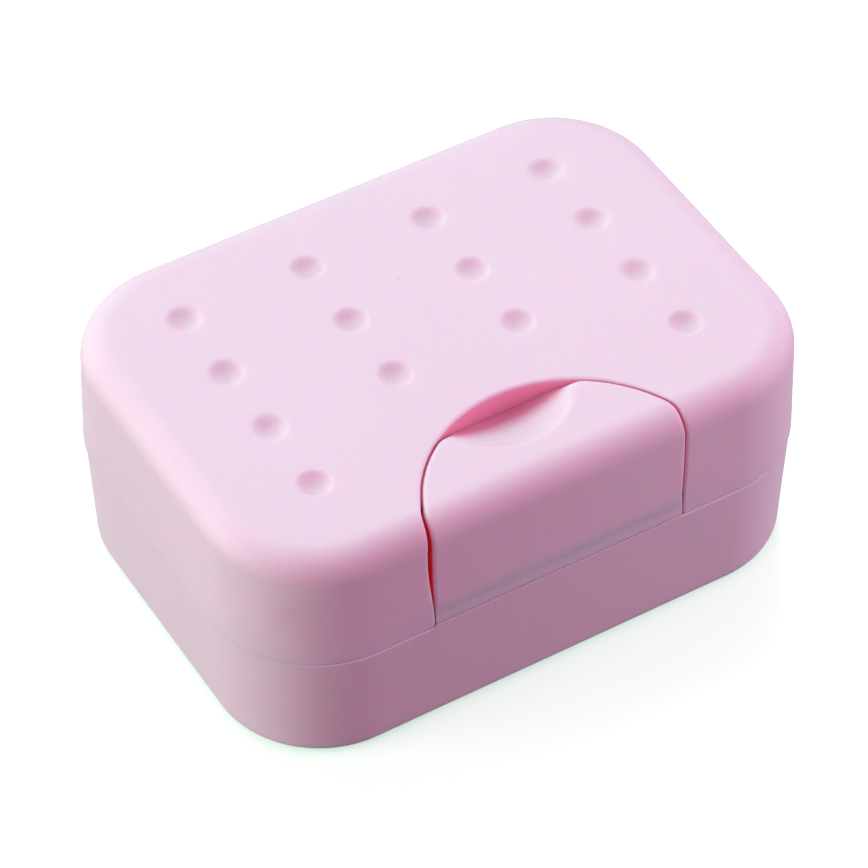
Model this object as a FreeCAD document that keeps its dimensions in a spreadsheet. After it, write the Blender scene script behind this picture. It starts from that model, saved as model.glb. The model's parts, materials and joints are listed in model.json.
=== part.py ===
"""Travel soap box: a base and a lid hinged at the back, a latch that swings from the front rim of the base
and fills a cut-out of the lid, and a loose drain tray inside.

Frame: origin at the middle of the underside, +Z up, +X along the long side, the latch towards -Y and the
hinges towards +Y.
"""
import FreeCAD, Part
import math
import os
import re
import Sketcher

# Driving dimensions: alias, value (millimetres, or degrees for a draft), meaning
SIZES = [
    ("box_length", 110.0, "length over the rims"),
    ("box_width", 79.2, "width over the rims"),
    ("plan_radius", 20.0, "corner radius seen from above"),
    ("base_height", 22.8, "height of the base up to its rim"),
    ("seam_gap", 0.3, "gap between the two rims"),
    ("lid_height", 23.1, "height of the lid from its rim"),
    ("wall", 2.2, "side wall"),
    ("floor_thickness", 2.2, "floor of the base"),
    ("top_thickness", 2.2, "top of the lid"),
    ("base_draft", 2.3, "draft of the base wall"),
    ("lid_draft", 1.8, "draft of the lid wall"),
    ("top_fillet", 5.0, "rounding of the lid's top edge"),
    ("bottom_fillet", 2.0, "rounding of the base's bottom edge"),
    ("inner_fillet", 2.5, "rounding inside both shells"),
    ("foot_width", 9.0, "width of the flat foot ring"),
    ("foot_recess", 0.8, "depth of the hollow inside the foot ring"),
    ("foot_pad_radius", 8.0, "round pad in the middle of that hollow"),
    ("lap_wall", 1.1, "lid wall left outside the lip of the base"),
    ("lap_clearance", 0.3, "gap between the lip and the lid"),
    ("lip_height", 2.6, "height of the lip above the rim of the base"),
    ("dimple_pitch_x", 23.6, "spacing of the dimples along the box"),
    ("dimple_pitch_y", 14.5, "spacing of the dimples across the box"),
    ("dimple_shift", 1.0, "shift of the dimple grid towards the hinges"),
    ("dimple_diameter", 5.7, "width of one dimple"),
    ("dimple_depth", 0.9, "depth of one dimple"),
    ("latch_width", 48.0, "width of the cut-out"),
    ("arch_start", 2.8, "front face to the start of the arch"),
    ("arch_depth", 18.2, "start of the arch to its crown"),
    ("arch_corner", 7.0, "radius of the sides of the arch"),
    ("latch_gap", 0.45, "gap round the latch"),
    ("flange_depth", 7.0, "depth of the flange round the cut-out"),
    ("flange_thickness", 1.6, "thickness of that flange"),
    ("dish_radius", 12.3, "radius of the finger dish in the top face"),
    ("dish_depth", 5.0, "depth of the finger dish"),
    ("dish_wall", 2.0, "wall under the finger dish"),
    ("dish_setback", 0.3, "centre of the dish behind the crown of the arch"),
    ("latch_axis_up", 2.9, "rim of the lid to the axis of the latch"),
    ("barrel_cover", 0.5, "front face to the barrel of the latch"),
    ("toe_clearance", 0.2, "gap under the toe of the latch as it swings"),
    ("ear_cover", 0.75, "lid wall left in front of an ear"),
    ("ear_radius", 1.4, "head of an ear of the base"),
    ("ear_thickness", 4.0, "ear along the box"),
    ("ear_clearance", 0.35, "gap between an ear and the lid"),
    ("ear_foot", 8.0, "how far an ear runs down inside the base wall"),
    ("latch_pin_diameter", 1.3, "latch pin"),
    ("latch_pin_engagement", 7.0, "length of a latch pin inside the barrel"),
    ("running_clearance", 0.05, "radial gap of a pin in the barrel that turns on it"),
    ("hinge_inset", 7.0, "end of the straight rear wall to the middle of a hinge"),
    ("hinge_axis_out", 1.6, "rear face to the axis of the rear hinges"),
    ("knuckle_radius", 2.4, "knuckle of a rear hinge"),
    ("knuckle_length", 5.0, "one knuckle along the box"),
    ("knuckle_gap", 0.4, "gap between two knuckles"),
    ("knuckle_relief", 0.35, "gap between a knuckle and the other shell"),
    ("hinge_pin_diameter", 2.0, "pin of a rear hinge"),
    ("tray_seat", 7.0, "height of the tray above the floor"),
    ("tray_thickness", 2.0, "plate of the tray"),
    ("tray_side_gap", 3.4, "rim of the base to the ends of the tray"),
    ("tray_front_gap", 5.2, "rim of the base to the long sides of the tray"),
    ("tray_corner", 24.0, "corner radius of the tray seen from above"),
    ("tray_lift_clearance", 0.6, "gap between the flange and the tray as it lifts"),
    ("slot_width", 4.0, "width of a drain slot"),
    ("slot_pitch", 10.0, "spacing of the drain slots and of the ribs"),
    ("slot_bridge", 8.0, "plate between the two rows of slots"),
    ("slot_margin", 8.4, "plate between the slots and the long sides of the tray"),
    ("rib_width", 2.0, "width of a soap rib"),
    ("rib_height", 1.2, "height of a soap rib"),
    ("rib_margin", 6.4, "plate between the ribs and the long sides of the tray"),
    ("grip_radius", 8.0, "finger notch at each end of the tray"),
    ("post_radius", 3.5, "post under the tray"),
    ("post_end_inset", 7.6, "end of the tray to the middle of a post"),
    ("post_side_inset", 14.4, "long side of the tray to the middle of a post"),
    ("peg_radius", 1.5, "peg on a post"),
    ("peg_clearance", 0.25, "radial gap of a peg in the tray"),
]
SLOT_COUNT = 8
DIMPLE_COLUMNS = 4
DIMPLE_ROWS = 4
LATCH_COLUMNS = (1, 2)

doc = FreeCAD.newDocument("travel_soap_box")
sheet = doc.addObject("Spreadsheet::Sheet", "Sizes")
for row, (alias, size, meaning) in enumerate(SIZES, start=1):
    sheet.set(f"A{row}", meaning)
    sheet.set(f"B{row}", str(size))
    sheet.setAlias(f"B{row}", alias)
doc.recompute()

ALIASES = re.compile(r"\b(" + "|".join(alias for alias, size, meaning in SIZES) + r")\b")

# Places worked out from the driving dimensions
LID_RIM = "(base_height + seam_gap)"
TOP = "(base_height + seam_gap + lid_height)"
FRONT = "(-box_width / 2)"
REAR = "(box_width / 2)"
LATCH_HALF = "(latch_width / 2)"
ARCH_START = "(arch_start - box_width / 2)"
ARCH_CROWN = "(arch_start + arch_depth - box_width / 2)"
CROWN_RADIUS = ("(arch_depth + ((latch_width / 2 - arch_corner)^2 - (arch_depth - arch_corner)^2)"
                " / (2 * (arch_depth - arch_corner)))")
LATCH_AXIS_IN = "(ear_cover + ear_clearance + ear_radius)"
LATCH_AXIS_Y = f"({LATCH_AXIS_IN} - box_width / 2)"
LATCH_AXIS_Z = "(base_height + seam_gap + latch_axis_up)"
TROUGH_RADIUS = f"(sqrt({LATCH_AXIS_IN}^2 + latch_axis_up^2) + toe_clearance)"
EAR_START = "(latch_width / 2)"
EAR_END = "(latch_width / 2 + ear_thickness)"
BARREL_HALF = "(latch_width / 2 - latch_gap)"
BARREL_RADIUS = f"({LATCH_AXIS_IN} - barrel_cover)"
HINGE_AXIS_Y = "(box_width / 2 + hinge_axis_out)"
HINGE_AXIS_Z = "(base_height + seam_gap / 2)"
HINGE_LENGTH = "(3 * knuckle_length + 2 * knuckle_gap)"
HINGE_X = "(box_length / 2 - plan_radius - hinge_inset)"
DISH_BALL = "((dish_radius^2 + dish_depth^2) / (2 * dish_depth))"
DIMPLE_BALL = "((dimple_diameter^2 / 4 + dimple_depth^2) / (2 * dimple_depth))"
FLANGE_REACH = "(tray_front_gap - tray_lift_clearance)"
TRAY_Z = "(floor_thickness + tray_seat)"
TRAY_HALF_LENGTH = "(box_length / 2 - tray_side_gap)"
TRAY_HALF_WIDTH = "(box_width / 2 - tray_front_gap)"
POST_X = f"({TRAY_HALF_LENGTH} - post_end_inset)"
POST_Y = f"({TRAY_HALF_WIDTH} - post_side_inset)"
SLOT_LENGTH = f"({TRAY_HALF_WIDTH} - slot_bridge / 2 - slot_margin)"
RIB_LENGTH = f"(2 * {TRAY_HALF_WIDTH} - 2 * rib_margin)"


def sized(expression):
    """The expression with each alias written as a cell of the sheet."""
    return ALIASES.sub(r"Sizes.\1", expression)


def value(expression):
    """The number that an expression of the sheet's aliases gives."""
    return float(sheet.evalExpression(sized(expression)))


def bind(item, **properties):
    """Ties properties of a document object to expressions; x, y and z stand for its place."""
    for name, expression in properties.items():
        path = f".Placement.Base.{name}" if name in "xyz" else name
        item.setExpression(path, sized(str(expression)))
    return item


# Solids with plain faces

def block(name, x, y, z, dx, dy, dz):
    """A box from its lowest corner."""
    item = doc.addObject("Part::Box", name)
    return bind(item, x=x, y=y, z=z, Length=dx, Width=dy, Height=dz)


def rod(name, x, y, z, radius, length):
    """A cylinder that lies along +X from its left end."""
    item = doc.addObject("Part::Cylinder", name)
    item.Placement.Rotation = FreeCAD.Rotation(FreeCAD.Vector(0, 1, 0), 90)
    return bind(item, x=x, y=y, z=z, Radius=radius, Height=length)


def post(name, x, y, z, radius, height):
    """A cylinder that stands up."""
    item = doc.addObject("Part::Cylinder", name)
    return bind(item, x=x, y=y, z=z, Radius=radius, Height=height)


def ball(name, x, y, z, radius):
    """A sphere about its centre."""
    item = doc.addObject("Part::Sphere", name)
    return bind(item, x=x, y=y, z=z, Radius=radius)


def fuse(name, items):
    """Several solids as one."""
    item = doc.addObject("Part::MultiFuse", name)
    item.Shapes = items
    return item


def common(name, items):
    """What several solids share."""
    item = doc.addObject("Part::MultiCommon", name)
    item.Shapes = items
    return item


def cut(name, base, tools):
    """A solid less its cutters."""
    item = doc.addObject("Part::Cut", name)
    item.Base = base
    item.Tool = tools[0] if len(tools) == 1 else fuse(name + "_cutters", tools)
    return item


# Solids drawn in sketches

def new_body(name):
    """An empty body for sketches and their features."""
    return doc.addObject("PartDesign::Body", name)


def origin_feature(body, role):
    """One of the body's own origin planes or axes."""
    for feature in body.Origin.OriginFeatures:
        if feature.Role == role:
            return feature
    raise ValueError(role)


def flat_sketch(body, name, height):
    """An empty sketch that lies level at a height."""
    sketch = body.newObject("Sketcher::SketchObject", name)
    sketch.AttachmentSupport = [(origin_feature(body, "XY_Plane"), "")]
    sketch.MapMode = "FlatFace"
    sketch.setExpression("AttachmentOffset.Base.z", sized(height))
    return sketch


def dimension(sketch, name, kind, *reference, size):
    """A named constraint tied to an expression."""
    index = sketch.addConstraint(Sketcher.Constraint(kind, *reference, value(size)))
    sketch.renameConstraint(index, name)
    sketch.setExpression(f"Constraints.{name}", sized(size))


def arc(centre_x, centre_y, radius, start, end):
    """An arc by its centre, radius and two angles in degrees, counter-clockwise."""
    circle = Part.Circle(FreeCAD.Vector(centre_x, centre_y, 0), FreeCAD.Vector(0, 0, 1), radius)
    return Part.ArcOfCircle(circle, math.radians(start), math.radians(end))


def rounded_rectangle(sketch, length, width, radius):
    """A rectangle about the origin with four equal round corners."""
    a, b, r = value(length) / 2, value(width) / 2, value(radius)
    corners = [(a, -b), (a, b), (-a, b), (-a, -b)]
    starts = [(-a + r, -b), (a, -b + r), (a - r, b), (-a, b - r)]
    ends = [(a - r, -b), (a, b - r), (-a + r, b), (-a, -b + r)]
    for (x0, y0), (x1, y1) in zip(starts, ends):
        sketch.addGeometry(Part.LineSegment(FreeCAD.Vector(x0, y0, 0), FreeCAD.Vector(x1, y1, 0)))
    for side, (x, y) in enumerate(corners):
        centre_x = x - r if x > 0 else x + r
        centre_y = y - r if y > 0 else y + r
        sketch.addGeometry(arc(centre_x, centre_y, r, 90 * side - 90, 90 * side))
    for side in range(4):
        sketch.addConstraint(Sketcher.Constraint("Tangent", side, 2, side + 4, 1))
        sketch.addConstraint(Sketcher.Constraint("Tangent", side + 4, 2, (side + 1) % 4, 1))
        sketch.addConstraint(Sketcher.Constraint("Vertical" if side % 2 else "Horizontal", side))
    for side in range(3):
        sketch.addConstraint(Sketcher.Constraint("Equal", side + 4, side + 5))
    sketch.addConstraint(Sketcher.Constraint("Symmetric", 0, 1, 2, 1, -1, 1))
    dimension(sketch, "length", "DistanceX", 3, 1, 1, 1, size=length)
    dimension(sketch, "width", "DistanceY", 0, 1, 2, 1, size=width)
    dimension(sketch, "corner", "Radius", 4, size=radius)


def pad(body, sketch, height, down=False, draft=None):
    """A sketch raised, or sunk, into a solid that narrows by its draft."""
    feature = body.newObject("PartDesign::Pad", sketch.Name + "_pad")
    feature.Profile = sketch
    feature.Reversed = down
    bind(feature, Length=height)
    if draft:
        bind(feature, TaperAngle=f"-{draft}")
    doc.recompute()
    return feature


def round_level_edges(body, feature, height, radius):
    """Rounds every edge of a feature that lies at one height."""
    level = value(height)
    names = []
    for index, edge in enumerate(feature.Shape.Edges, start=1):
        box = edge.BoundBox
        if max(abs(box.ZMin - level), abs(box.ZMax - level)) < 1e-4:
            names.append(f"Edge{index}")
    fillet = body.newObject("PartDesign::Fillet", feature.Name + "_fillet")
    fillet.Base = (feature, names)
    bind(fillet, Radius=radius)
    doc.recompute()
    return fillet


def drafted_form(name, inset, foot, height, draft, edge_radius, down=False):
    """The plan outline, set in from the rim, carried up or down with draft and rounded at its far edge."""
    body = new_body(name)
    sketch = flat_sketch(body, name + "_outline", foot)
    rounded_rectangle(sketch, f"box_length - 2 * ({inset})", f"box_width - 2 * ({inset})",
                      f"plan_radius - ({inset})")
    solid = pad(body, sketch, height, down, draft)
    if edge_radius:
        far = f"{foot} - ({height})" if down else f"{foot} + ({height})"
        round_level_edges(body, solid, far, edge_radius)
    return body


def outline_ring(name, outer_inset, inner_inset, foot, height):
    """A straight band of the plan outline between two insets."""
    outer = drafted_form(name + "_outside", outer_inset, foot, height, None, None)
    inner = drafted_form(name + "_inside", inner_inset, foot, height, None, None)
    return cut(name, outer, [inner])


def arch_prism(name, outset, foot, height):
    """The outline of the cut-out, set out or in, raised: straight sides, two side arcs and a crown arc."""
    body = new_body(name)
    sketch = flat_sketch(body, name + "_outline", foot)
    half = value(f"{LATCH_HALF} + ({outset})")
    side = value(f"arch_corner + ({outset})")
    crown = value(f"{CROWN_RADIUS} + ({outset})")
    spring = value(ARCH_START)
    front = value(f"{FRONT} - wall")
    crown_centre = value(f"{ARCH_CROWN} - {CROWN_RADIUS}")
    turn = math.degrees(math.atan2(spring - crown_centre, half - side))
    corners = [FreeCAD.Vector(-half, front, 0), FreeCAD.Vector(half, front, 0)]
    sketch.addGeometry(Part.LineSegment(*corners))
    sketch.addGeometry(Part.LineSegment(corners[1], FreeCAD.Vector(half, spring, 0)))
    sketch.addGeometry(arc(half - side, spring, side, 0, turn))
    sketch.addGeometry(arc(0, crown_centre, crown, turn, 180 - turn))
    sketch.addGeometry(arc(side - half, spring, side, 180 - turn, 180))
    sketch.addGeometry(Part.LineSegment(FreeCAD.Vector(-half, spring, 0), corners[0]))
    sketch.addConstraint(Sketcher.Constraint("Coincident", 0, 2, 1, 1))
    sketch.addConstraint(Sketcher.Constraint("Coincident", 5, 2, 0, 1))
    for first in range(1, 5):
        sketch.addConstraint(Sketcher.Constraint("Tangent", first, 2, first + 1, 1))
    sketch.addConstraint(Sketcher.Constraint("Vertical", 1))
    sketch.addConstraint(Sketcher.Constraint("Vertical", 5))
    sketch.addConstraint(Sketcher.Constraint("Equal", 2, 4))
    sketch.addConstraint(Sketcher.Constraint("PointOnObject", 3, 3, -2))
    sketch.addConstraint(Sketcher.Constraint("Symmetric", 0, 1, 0, 2, -2))
    dimension(sketch, "width", "DistanceX", 0, 1, 0, 2, size=f"latch_width + 2 * ({outset})")
    dimension(sketch, "front", "DistanceY", 0, 1, -1, 1, size=f"wall - {FRONT}")
    dimension(sketch, "spring", "DistanceY", 1, 2, -1, 1, size=f"-{ARCH_START}")
    dimension(sketch, "side", "Radius", 2, size=f"arch_corner + ({outset})")
    dimension(sketch, "crown", "Radius", 3, size=f"{CROWN_RADIUS} + ({outset})")
    pad(body, sketch, height)
    return body


# Lid

def hinge_start(side):
    """Left end of the rear hinge on one side."""
    return f"({side} * {HINGE_X} - {HINGE_LENGTH} / 2)"


def knuckle_start(side, place):
    """Left end of the first, second or third knuckle of a rear hinge."""
    return f"({hinge_start(side)} + {place} * (knuckle_length + knuckle_gap))"


def knuckle(name, side, place, up):
    """A knuckle and the web that joins it to its shell: above the seam for the lid, below it for the base."""
    start = knuckle_start(side, place)
    barrel = rod(name + "_barrel", start, HINGE_AXIS_Y, HINGE_AXIS_Z, "knuckle_radius", "knuckle_length")
    web_z = LID_RIM if up else f"{HINGE_AXIS_Z} - knuckle_radius"
    web = block(name + "_web", start, f"{REAR} - wall / 2", web_z, "knuckle_length",
                "hinge_axis_out + wall / 2", "knuckle_radius - seam_gap / 2")
    return fuse(name, [barrel, web])


def knuckle_room(name, side, place):
    """The space that a knuckle of the other shell needs."""
    return rod(name, f"{knuckle_start(side, place)} - knuckle_gap", HINGE_AXIS_Y, HINGE_AXIS_Z,
               "knuckle_radius + knuckle_relief", "knuckle_length + 2 * knuckle_gap")


def dimples():
    """The shallow dimples of the top, a grid less the places that the latch takes."""
    balls = []
    for column in range(DIMPLE_COLUMNS):
        for line in range(DIMPLE_ROWS):
            if line == 0 and column in LATCH_COLUMNS:
                continue
            balls.append(ball(f"dimple_{column}_{line}",
                              f"({column} - {(DIMPLE_COLUMNS - 1) / 2}) * dimple_pitch_x",
                              f"({line} - {(DIMPLE_ROWS - 1) / 2}) * dimple_pitch_y + dimple_shift",
                              f"{TOP} + {DIMPLE_BALL} - dimple_depth", DIMPLE_BALL))
    return balls


def make_lid(form, hollow):
    """The shell with its flange, less the cut-out, the lap, the dimples and the room for ears and knuckles."""
    shell = cut("lid_plain_shell", form, [hollow])
    flange_top = arch_prism("flange_top", "flange_thickness", f"{TOP} - flange_depth", "flange_depth")
    flange_foot = f"({LATCH_AXIS_Z} + ear_radius + 2 * ear_clearance)"
    flange_front = block("flange_front", f"-{LATCH_HALF} - flange_thickness", FRONT, flange_foot,
                         "latch_width + 2 * flange_thickness", FLANGE_REACH, f"{TOP} - {flange_foot}")
    flange = common("flange", [form, fuse("flange_stock", [flange_top, flange_front])])
    knuckles = [knuckle(f"lid_knuckle_{n}", side, 1, True) for n, side in enumerate((-1, 1))]
    whole = fuse("lid_whole", [shell, flange] + knuckles)
    cutters = [arch_prism("cut_out", "0", LID_RIM, "lid_height")]
    cutters.append(drafted_form("lap", "lap_wall", LID_RIM, "lip_height + lap_clearance", None, None))
    for n, side in enumerate((-1, 1)):
        start = f"-{EAR_END} - ear_clearance" if side < 0 else EAR_START
        cutters.append(block(f"ear_room_{n}", start, f"{LATCH_AXIS_Y} - ear_radius - ear_clearance", LID_RIM,
                             "ear_thickness + ear_clearance", FLANGE_REACH,
                             "latch_axis_up + ear_radius + ear_clearance"))
        cutters.append(rod(f"lid_bore_{n}", hinge_start(side), HINGE_AXIS_Y, HINGE_AXIS_Z,
                           "hinge_pin_diameter / 2 + running_clearance", HINGE_LENGTH))
        for place in (0, 2):
            cutters.append(knuckle_room(f"base_knuckle_room_{n}_{place}", side, place))
    lid = cut("lid", whole, cutters + dimples())
    lid.Label = "lid_shell"
    return lid


# Latch

def make_latch(form, hollow):
    """The part of the lid's form inside the cut-out, with a dish in its lip and a barrel along its foot."""
    prism = arch_prism("latch_prism", "-latch_gap", LID_RIM, "lid_height")
    skin = common("latch_skin", [cut("latch_plain_shell", form, [hollow]), prism])
    dish_y = f"({ARCH_CROWN} + dish_setback)"
    dish_z = f"({TOP} - dish_depth + {DISH_BALL})"
    backing = common("dish_backing", [ball("dish_outside", 0, dish_y, dish_z, f"{DISH_BALL} + dish_wall"),
                                      form, prism])
    barrel = rod("latch_barrel", f"-{BARREL_HALF}", LATCH_AXIS_Y, LATCH_AXIS_Z, BARREL_RADIUS,
                 f"2 * {BARREL_HALF}")
    web = block("latch_web", f"-{BARREL_HALF}", f"{FRONT} + wall / 2", LATCH_AXIS_Z, f"2 * {BARREL_HALF}",
                f"{LATCH_AXIS_IN} - wall / 2", BARREL_RADIUS)
    whole = fuse("latch_whole", [skin, backing, barrel, web])
    bore = "latch_pin_diameter / 2 + running_clearance"
    depth = "(latch_pin_engagement + ear_clearance)"
    cutters = [ball("dish", 0, dish_y, dish_z, DISH_BALL)]
    cutters.append(rod("latch_bore_0", f"-{BARREL_HALF}", LATCH_AXIS_Y, LATCH_AXIS_Z, bore, depth))
    cutters.append(rod("latch_bore_1", f"{BARREL_HALF} - {depth}", LATCH_AXIS_Y, LATCH_AXIS_Z, bore, depth))
    latch = cut("latch_flap", whole, cutters)
    latch.Label = "latch"
    return latch


# Base

def make_base():
    """The shell with lip, ears, knuckles and tray posts, less the trough for the toe of the latch."""
    form = drafted_form("base_form", "0", "base_height", "base_height", "base_draft", "bottom_fillet",
                        down=True)
    hollow = drafted_form("base_hollow", "wall", "base_height", "base_height - floor_thickness", "base_draft",
                          "inner_fillet", down=True)
    lip = outline_ring("lip", "lap_wall + lap_clearance", "wall", "base_height - wall", "lip_height + wall")
    lip_break = block("lip_break", f"-{EAR_END} - ear_clearance", FRONT, "base_height",
                      f"2 * {EAR_END} + 2 * ear_clearance", FLANGE_REACH, "lip_height")
    trough = rod("trough", f"-{LATCH_HALF}", LATCH_AXIS_Y, LATCH_AXIS_Z, TROUGH_RADIUS, "latch_width")
    foot = cut("foot_hollow", drafted_form("foot_stock", "foot_width", "0", "foot_recess", None, None),
               [post("foot_pad", 0, 0, 0, "foot_pad_radius", "foot_recess")])
    shell = cut("base_plain_shell", fuse("base_stock", [cut("base_bowl", form, [hollow]), lip]),
                [lip_break, trough, foot])
    added = [shell]
    bores = []
    for n, side in enumerate((-1, 1)):
        start = f"-{EAR_END}" if side < 0 else EAR_START
        added.append(rod(f"ear_head_{n}", start, LATCH_AXIS_Y, LATCH_AXIS_Z, "ear_radius", "ear_thickness"))
        added.append(block(f"ear_{n}", start, f"{LATCH_AXIS_Y} - ear_radius", "base_height - ear_foot",
                           "ear_thickness", "2 * ear_radius", f"{LATCH_AXIS_Z} - base_height + ear_foot"))
        bores.append(rod(f"ear_bore_{n}", start, LATCH_AXIS_Y, LATCH_AXIS_Z, "latch_pin_diameter / 2",
                         "ear_thickness"))
        bores.append(rod(f"base_bore_{n}", hinge_start(side), HINGE_AXIS_Y, HINGE_AXIS_Z,
                         "hinge_pin_diameter / 2", HINGE_LENGTH))
        bores.append(knuckle_room(f"lid_knuckle_room_{n}", side, 1))
        added.extend(knuckle(f"base_knuckle_{n}_{place}", side, place, False) for place in (0, 2))
        for end in (-1, 1):
            x, y = f"{side} * {POST_X}", f"{end} * {POST_Y}"
            corner = f"{n}_{'rear' if end > 0 else 'front'}"
            added.append(post(f"tray_post_{corner}", x, y, "floor_thickness / 2", "post_radius",
                              "tray_seat + floor_thickness / 2"))
            added.append(post(f"tray_peg_{corner}", x, y, TRAY_Z, "peg_radius", "tray_thickness"))
    base = cut("base", fuse("base_whole", added), bores)
    base.Label = "base_shell"
    return base


# Tray

def rectangle(sketch, name, left, low, dx, dy):
    """An upright rectangle with its lowest corner and its two sides dimensioned."""
    first = sketch.GeometryCount
    x0, y0, x1, y1 = value(left), value(low), value(f"{left} + {dx}"), value(f"{low} + {dy}")
    points = [FreeCAD.Vector(x, y, 0) for x, y in ((x0, y0), (x1, y0), (x1, y1), (x0, y1))]
    for side in range(4):
        sketch.addGeometry(Part.LineSegment(points[side], points[(side + 1) % 4]))
    for side in range(4):
        sketch.addConstraint(Sketcher.Constraint("Coincident", first + side, 2, first + (side + 1) % 4, 1))
        sketch.addConstraint(Sketcher.Constraint("Vertical" if side % 2 else "Horizontal", first + side))
    dimension(sketch, name + "_left", "DistanceX", first, 1, -1, 1, size=f"-({left})")
    if y0 < 0:
        dimension(sketch, name + "_low", "DistanceY", first, 1, -1, 1, size=f"-({low})")
    else:
        dimension(sketch, name + "_low", "DistanceY", -1, 1, first, 1, size=low)
    dimension(sketch, name + "_dx", "DistanceX", first, 1, first, 2, size=dx)
    dimension(sketch, name + "_dy", "DistanceY", first + 1, 1, first + 1, 2, size=dy)


def along_box(body, feature, name, count):
    """Copies of a feature along +X, one slot pitch apart."""
    pattern = body.newObject("PartDesign::LinearPattern", name)
    pattern.Originals = [feature]
    pattern.Direction = (origin_feature(body, "X_Axis"), [""])
    pattern.Occurrences = count
    bind(pattern, Length=f"{count - 1} * slot_pitch")
    body.Tip = pattern
    doc.recompute()
    return pattern


def make_tray():
    """A plate with two rows of drain slots, soap ribs between them, peg holes and two finger notches."""
    body = new_body("tray_plate")
    outline = flat_sketch(body, "tray_outline", TRAY_Z)
    rounded_rectangle(outline, f"2 * {TRAY_HALF_LENGTH}", f"2 * {TRAY_HALF_WIDTH}", "tray_corner")
    pad(body, outline, "tray_thickness")
    slots = flat_sketch(body, "tray_slots", TRAY_Z)
    for name, low in (("front", f"-slot_bridge / 2 - {SLOT_LENGTH}"), ("rear", "slot_bridge / 2")):
        rectangle(slots, name, f"-{(SLOT_COUNT - 1) / 2} * slot_pitch - slot_width / 2", low, "slot_width",
                  SLOT_LENGTH)
    pocket = body.newObject("PartDesign::Pocket", "tray_slots_pocket")
    pocket.Profile = slots
    pocket.Reversed = True
    bind(pocket, Length="tray_thickness")
    doc.recompute()
    along_box(body, pocket, "slot_row_pattern", SLOT_COUNT)
    ribs = flat_sketch(body, "tray_ribs", f"{TRAY_Z} + tray_thickness")
    rectangle(ribs, "rib", f"-{SLOT_COUNT / 2} * slot_pitch - rib_width / 2", f"-{RIB_LENGTH} / 2",
              "rib_width", RIB_LENGTH)
    along_box(body, pad(body, ribs, "rib_height"), "rib_pattern", SLOT_COUNT + 1)
    cutters = []
    for n, side in enumerate((-1, 1)):
        cutters.append(post(f"grip_{n}", f"{side} * {TRAY_HALF_LENGTH}", 0, TRAY_Z, "grip_radius",
                            "tray_thickness"))
        for end in (-1, 1):
            cutters.append(post(f"peg_hole_{n}_{'rear' if end > 0 else 'front'}", f"{side} * {POST_X}",
                                f"{end} * {POST_Y}", TRAY_Z, "peg_radius + peg_clearance", "tray_thickness"))
    tray = cut("tray", body, cutters)
    tray.Label = "drain_tray"
    return tray


# Pins

def make_pins():
    """Two pins of the rear hinges and two of the latch, pressed into the base."""
    pins = []
    length = "ear_thickness + latch_gap + latch_pin_engagement"
    for name, side in (("left", -1), ("right", 1)):
        hinge_pin = rod(f"hinge_pin_{name}", hinge_start(side), HINGE_AXIS_Y, HINGE_AXIS_Z,
                        "hinge_pin_diameter / 2", HINGE_LENGTH)
        hinge_pin.Label = f"lid_hinge_pin_{name}"
        start = f"-{EAR_END}" if side < 0 else f"{EAR_END} - ({length})"
        latch_pin = rod(f"flap_pin_{name}", start, LATCH_AXIS_Y, LATCH_AXIS_Z, "latch_pin_diameter / 2",
                        length)
        latch_pin.Label = f"latch_pin_{name}"
        pins.extend([hinge_pin, latch_pin])
    return pins


def write_parts(nodes):
    """Stops if anything failed, then writes one file for each piece."""
    doc.recompute()
    failed = [item.Name for item in doc.Objects if "Invalid" in item.State or "Error" in item.State]
    failed += [node.Label for node in nodes if node.Shape.isNull() or not node.Shape.isValid()]
    if failed:
        raise RuntimeError("failed: " + ", ".join(failed))
    os.makedirs("parts", exist_ok=True)
    for node in nodes:
        box = node.Shape.optimalBoundingBox(False)
        print(f"{node.Label}: {len(node.Shape.Solids)} solid, {node.Shape.Volume:.1f} mm3, "
              f"{box.XLength:.2f} x {box.YLength:.2f} x {box.ZLength:.2f} mm")
        node.Shape.exportStep(f"parts/{node.Label}.step")


lid_form = drafted_form("lid_form", "0", LID_RIM, "lid_height", "lid_draft", "top_fillet")
lid_hollow = drafted_form("lid_hollow", "wall", LID_RIM, "lid_height - top_thickness", "lid_draft",
                          "inner_fillet")
shells = [make_base(), make_lid(lid_form, lid_hollow), make_latch(lid_form, lid_hollow)]
write_parts(shells + [make_tray()] + make_pins())
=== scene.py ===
"""Looks of a travel soap box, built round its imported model.

The file is laid out as an add-on and runs as a script. The lid, the latch and the base are surfaces worked
out with numpy in metres; the tray and the steel pins keep the model's shapes and get new finishes.
"""
import json
import math

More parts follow.
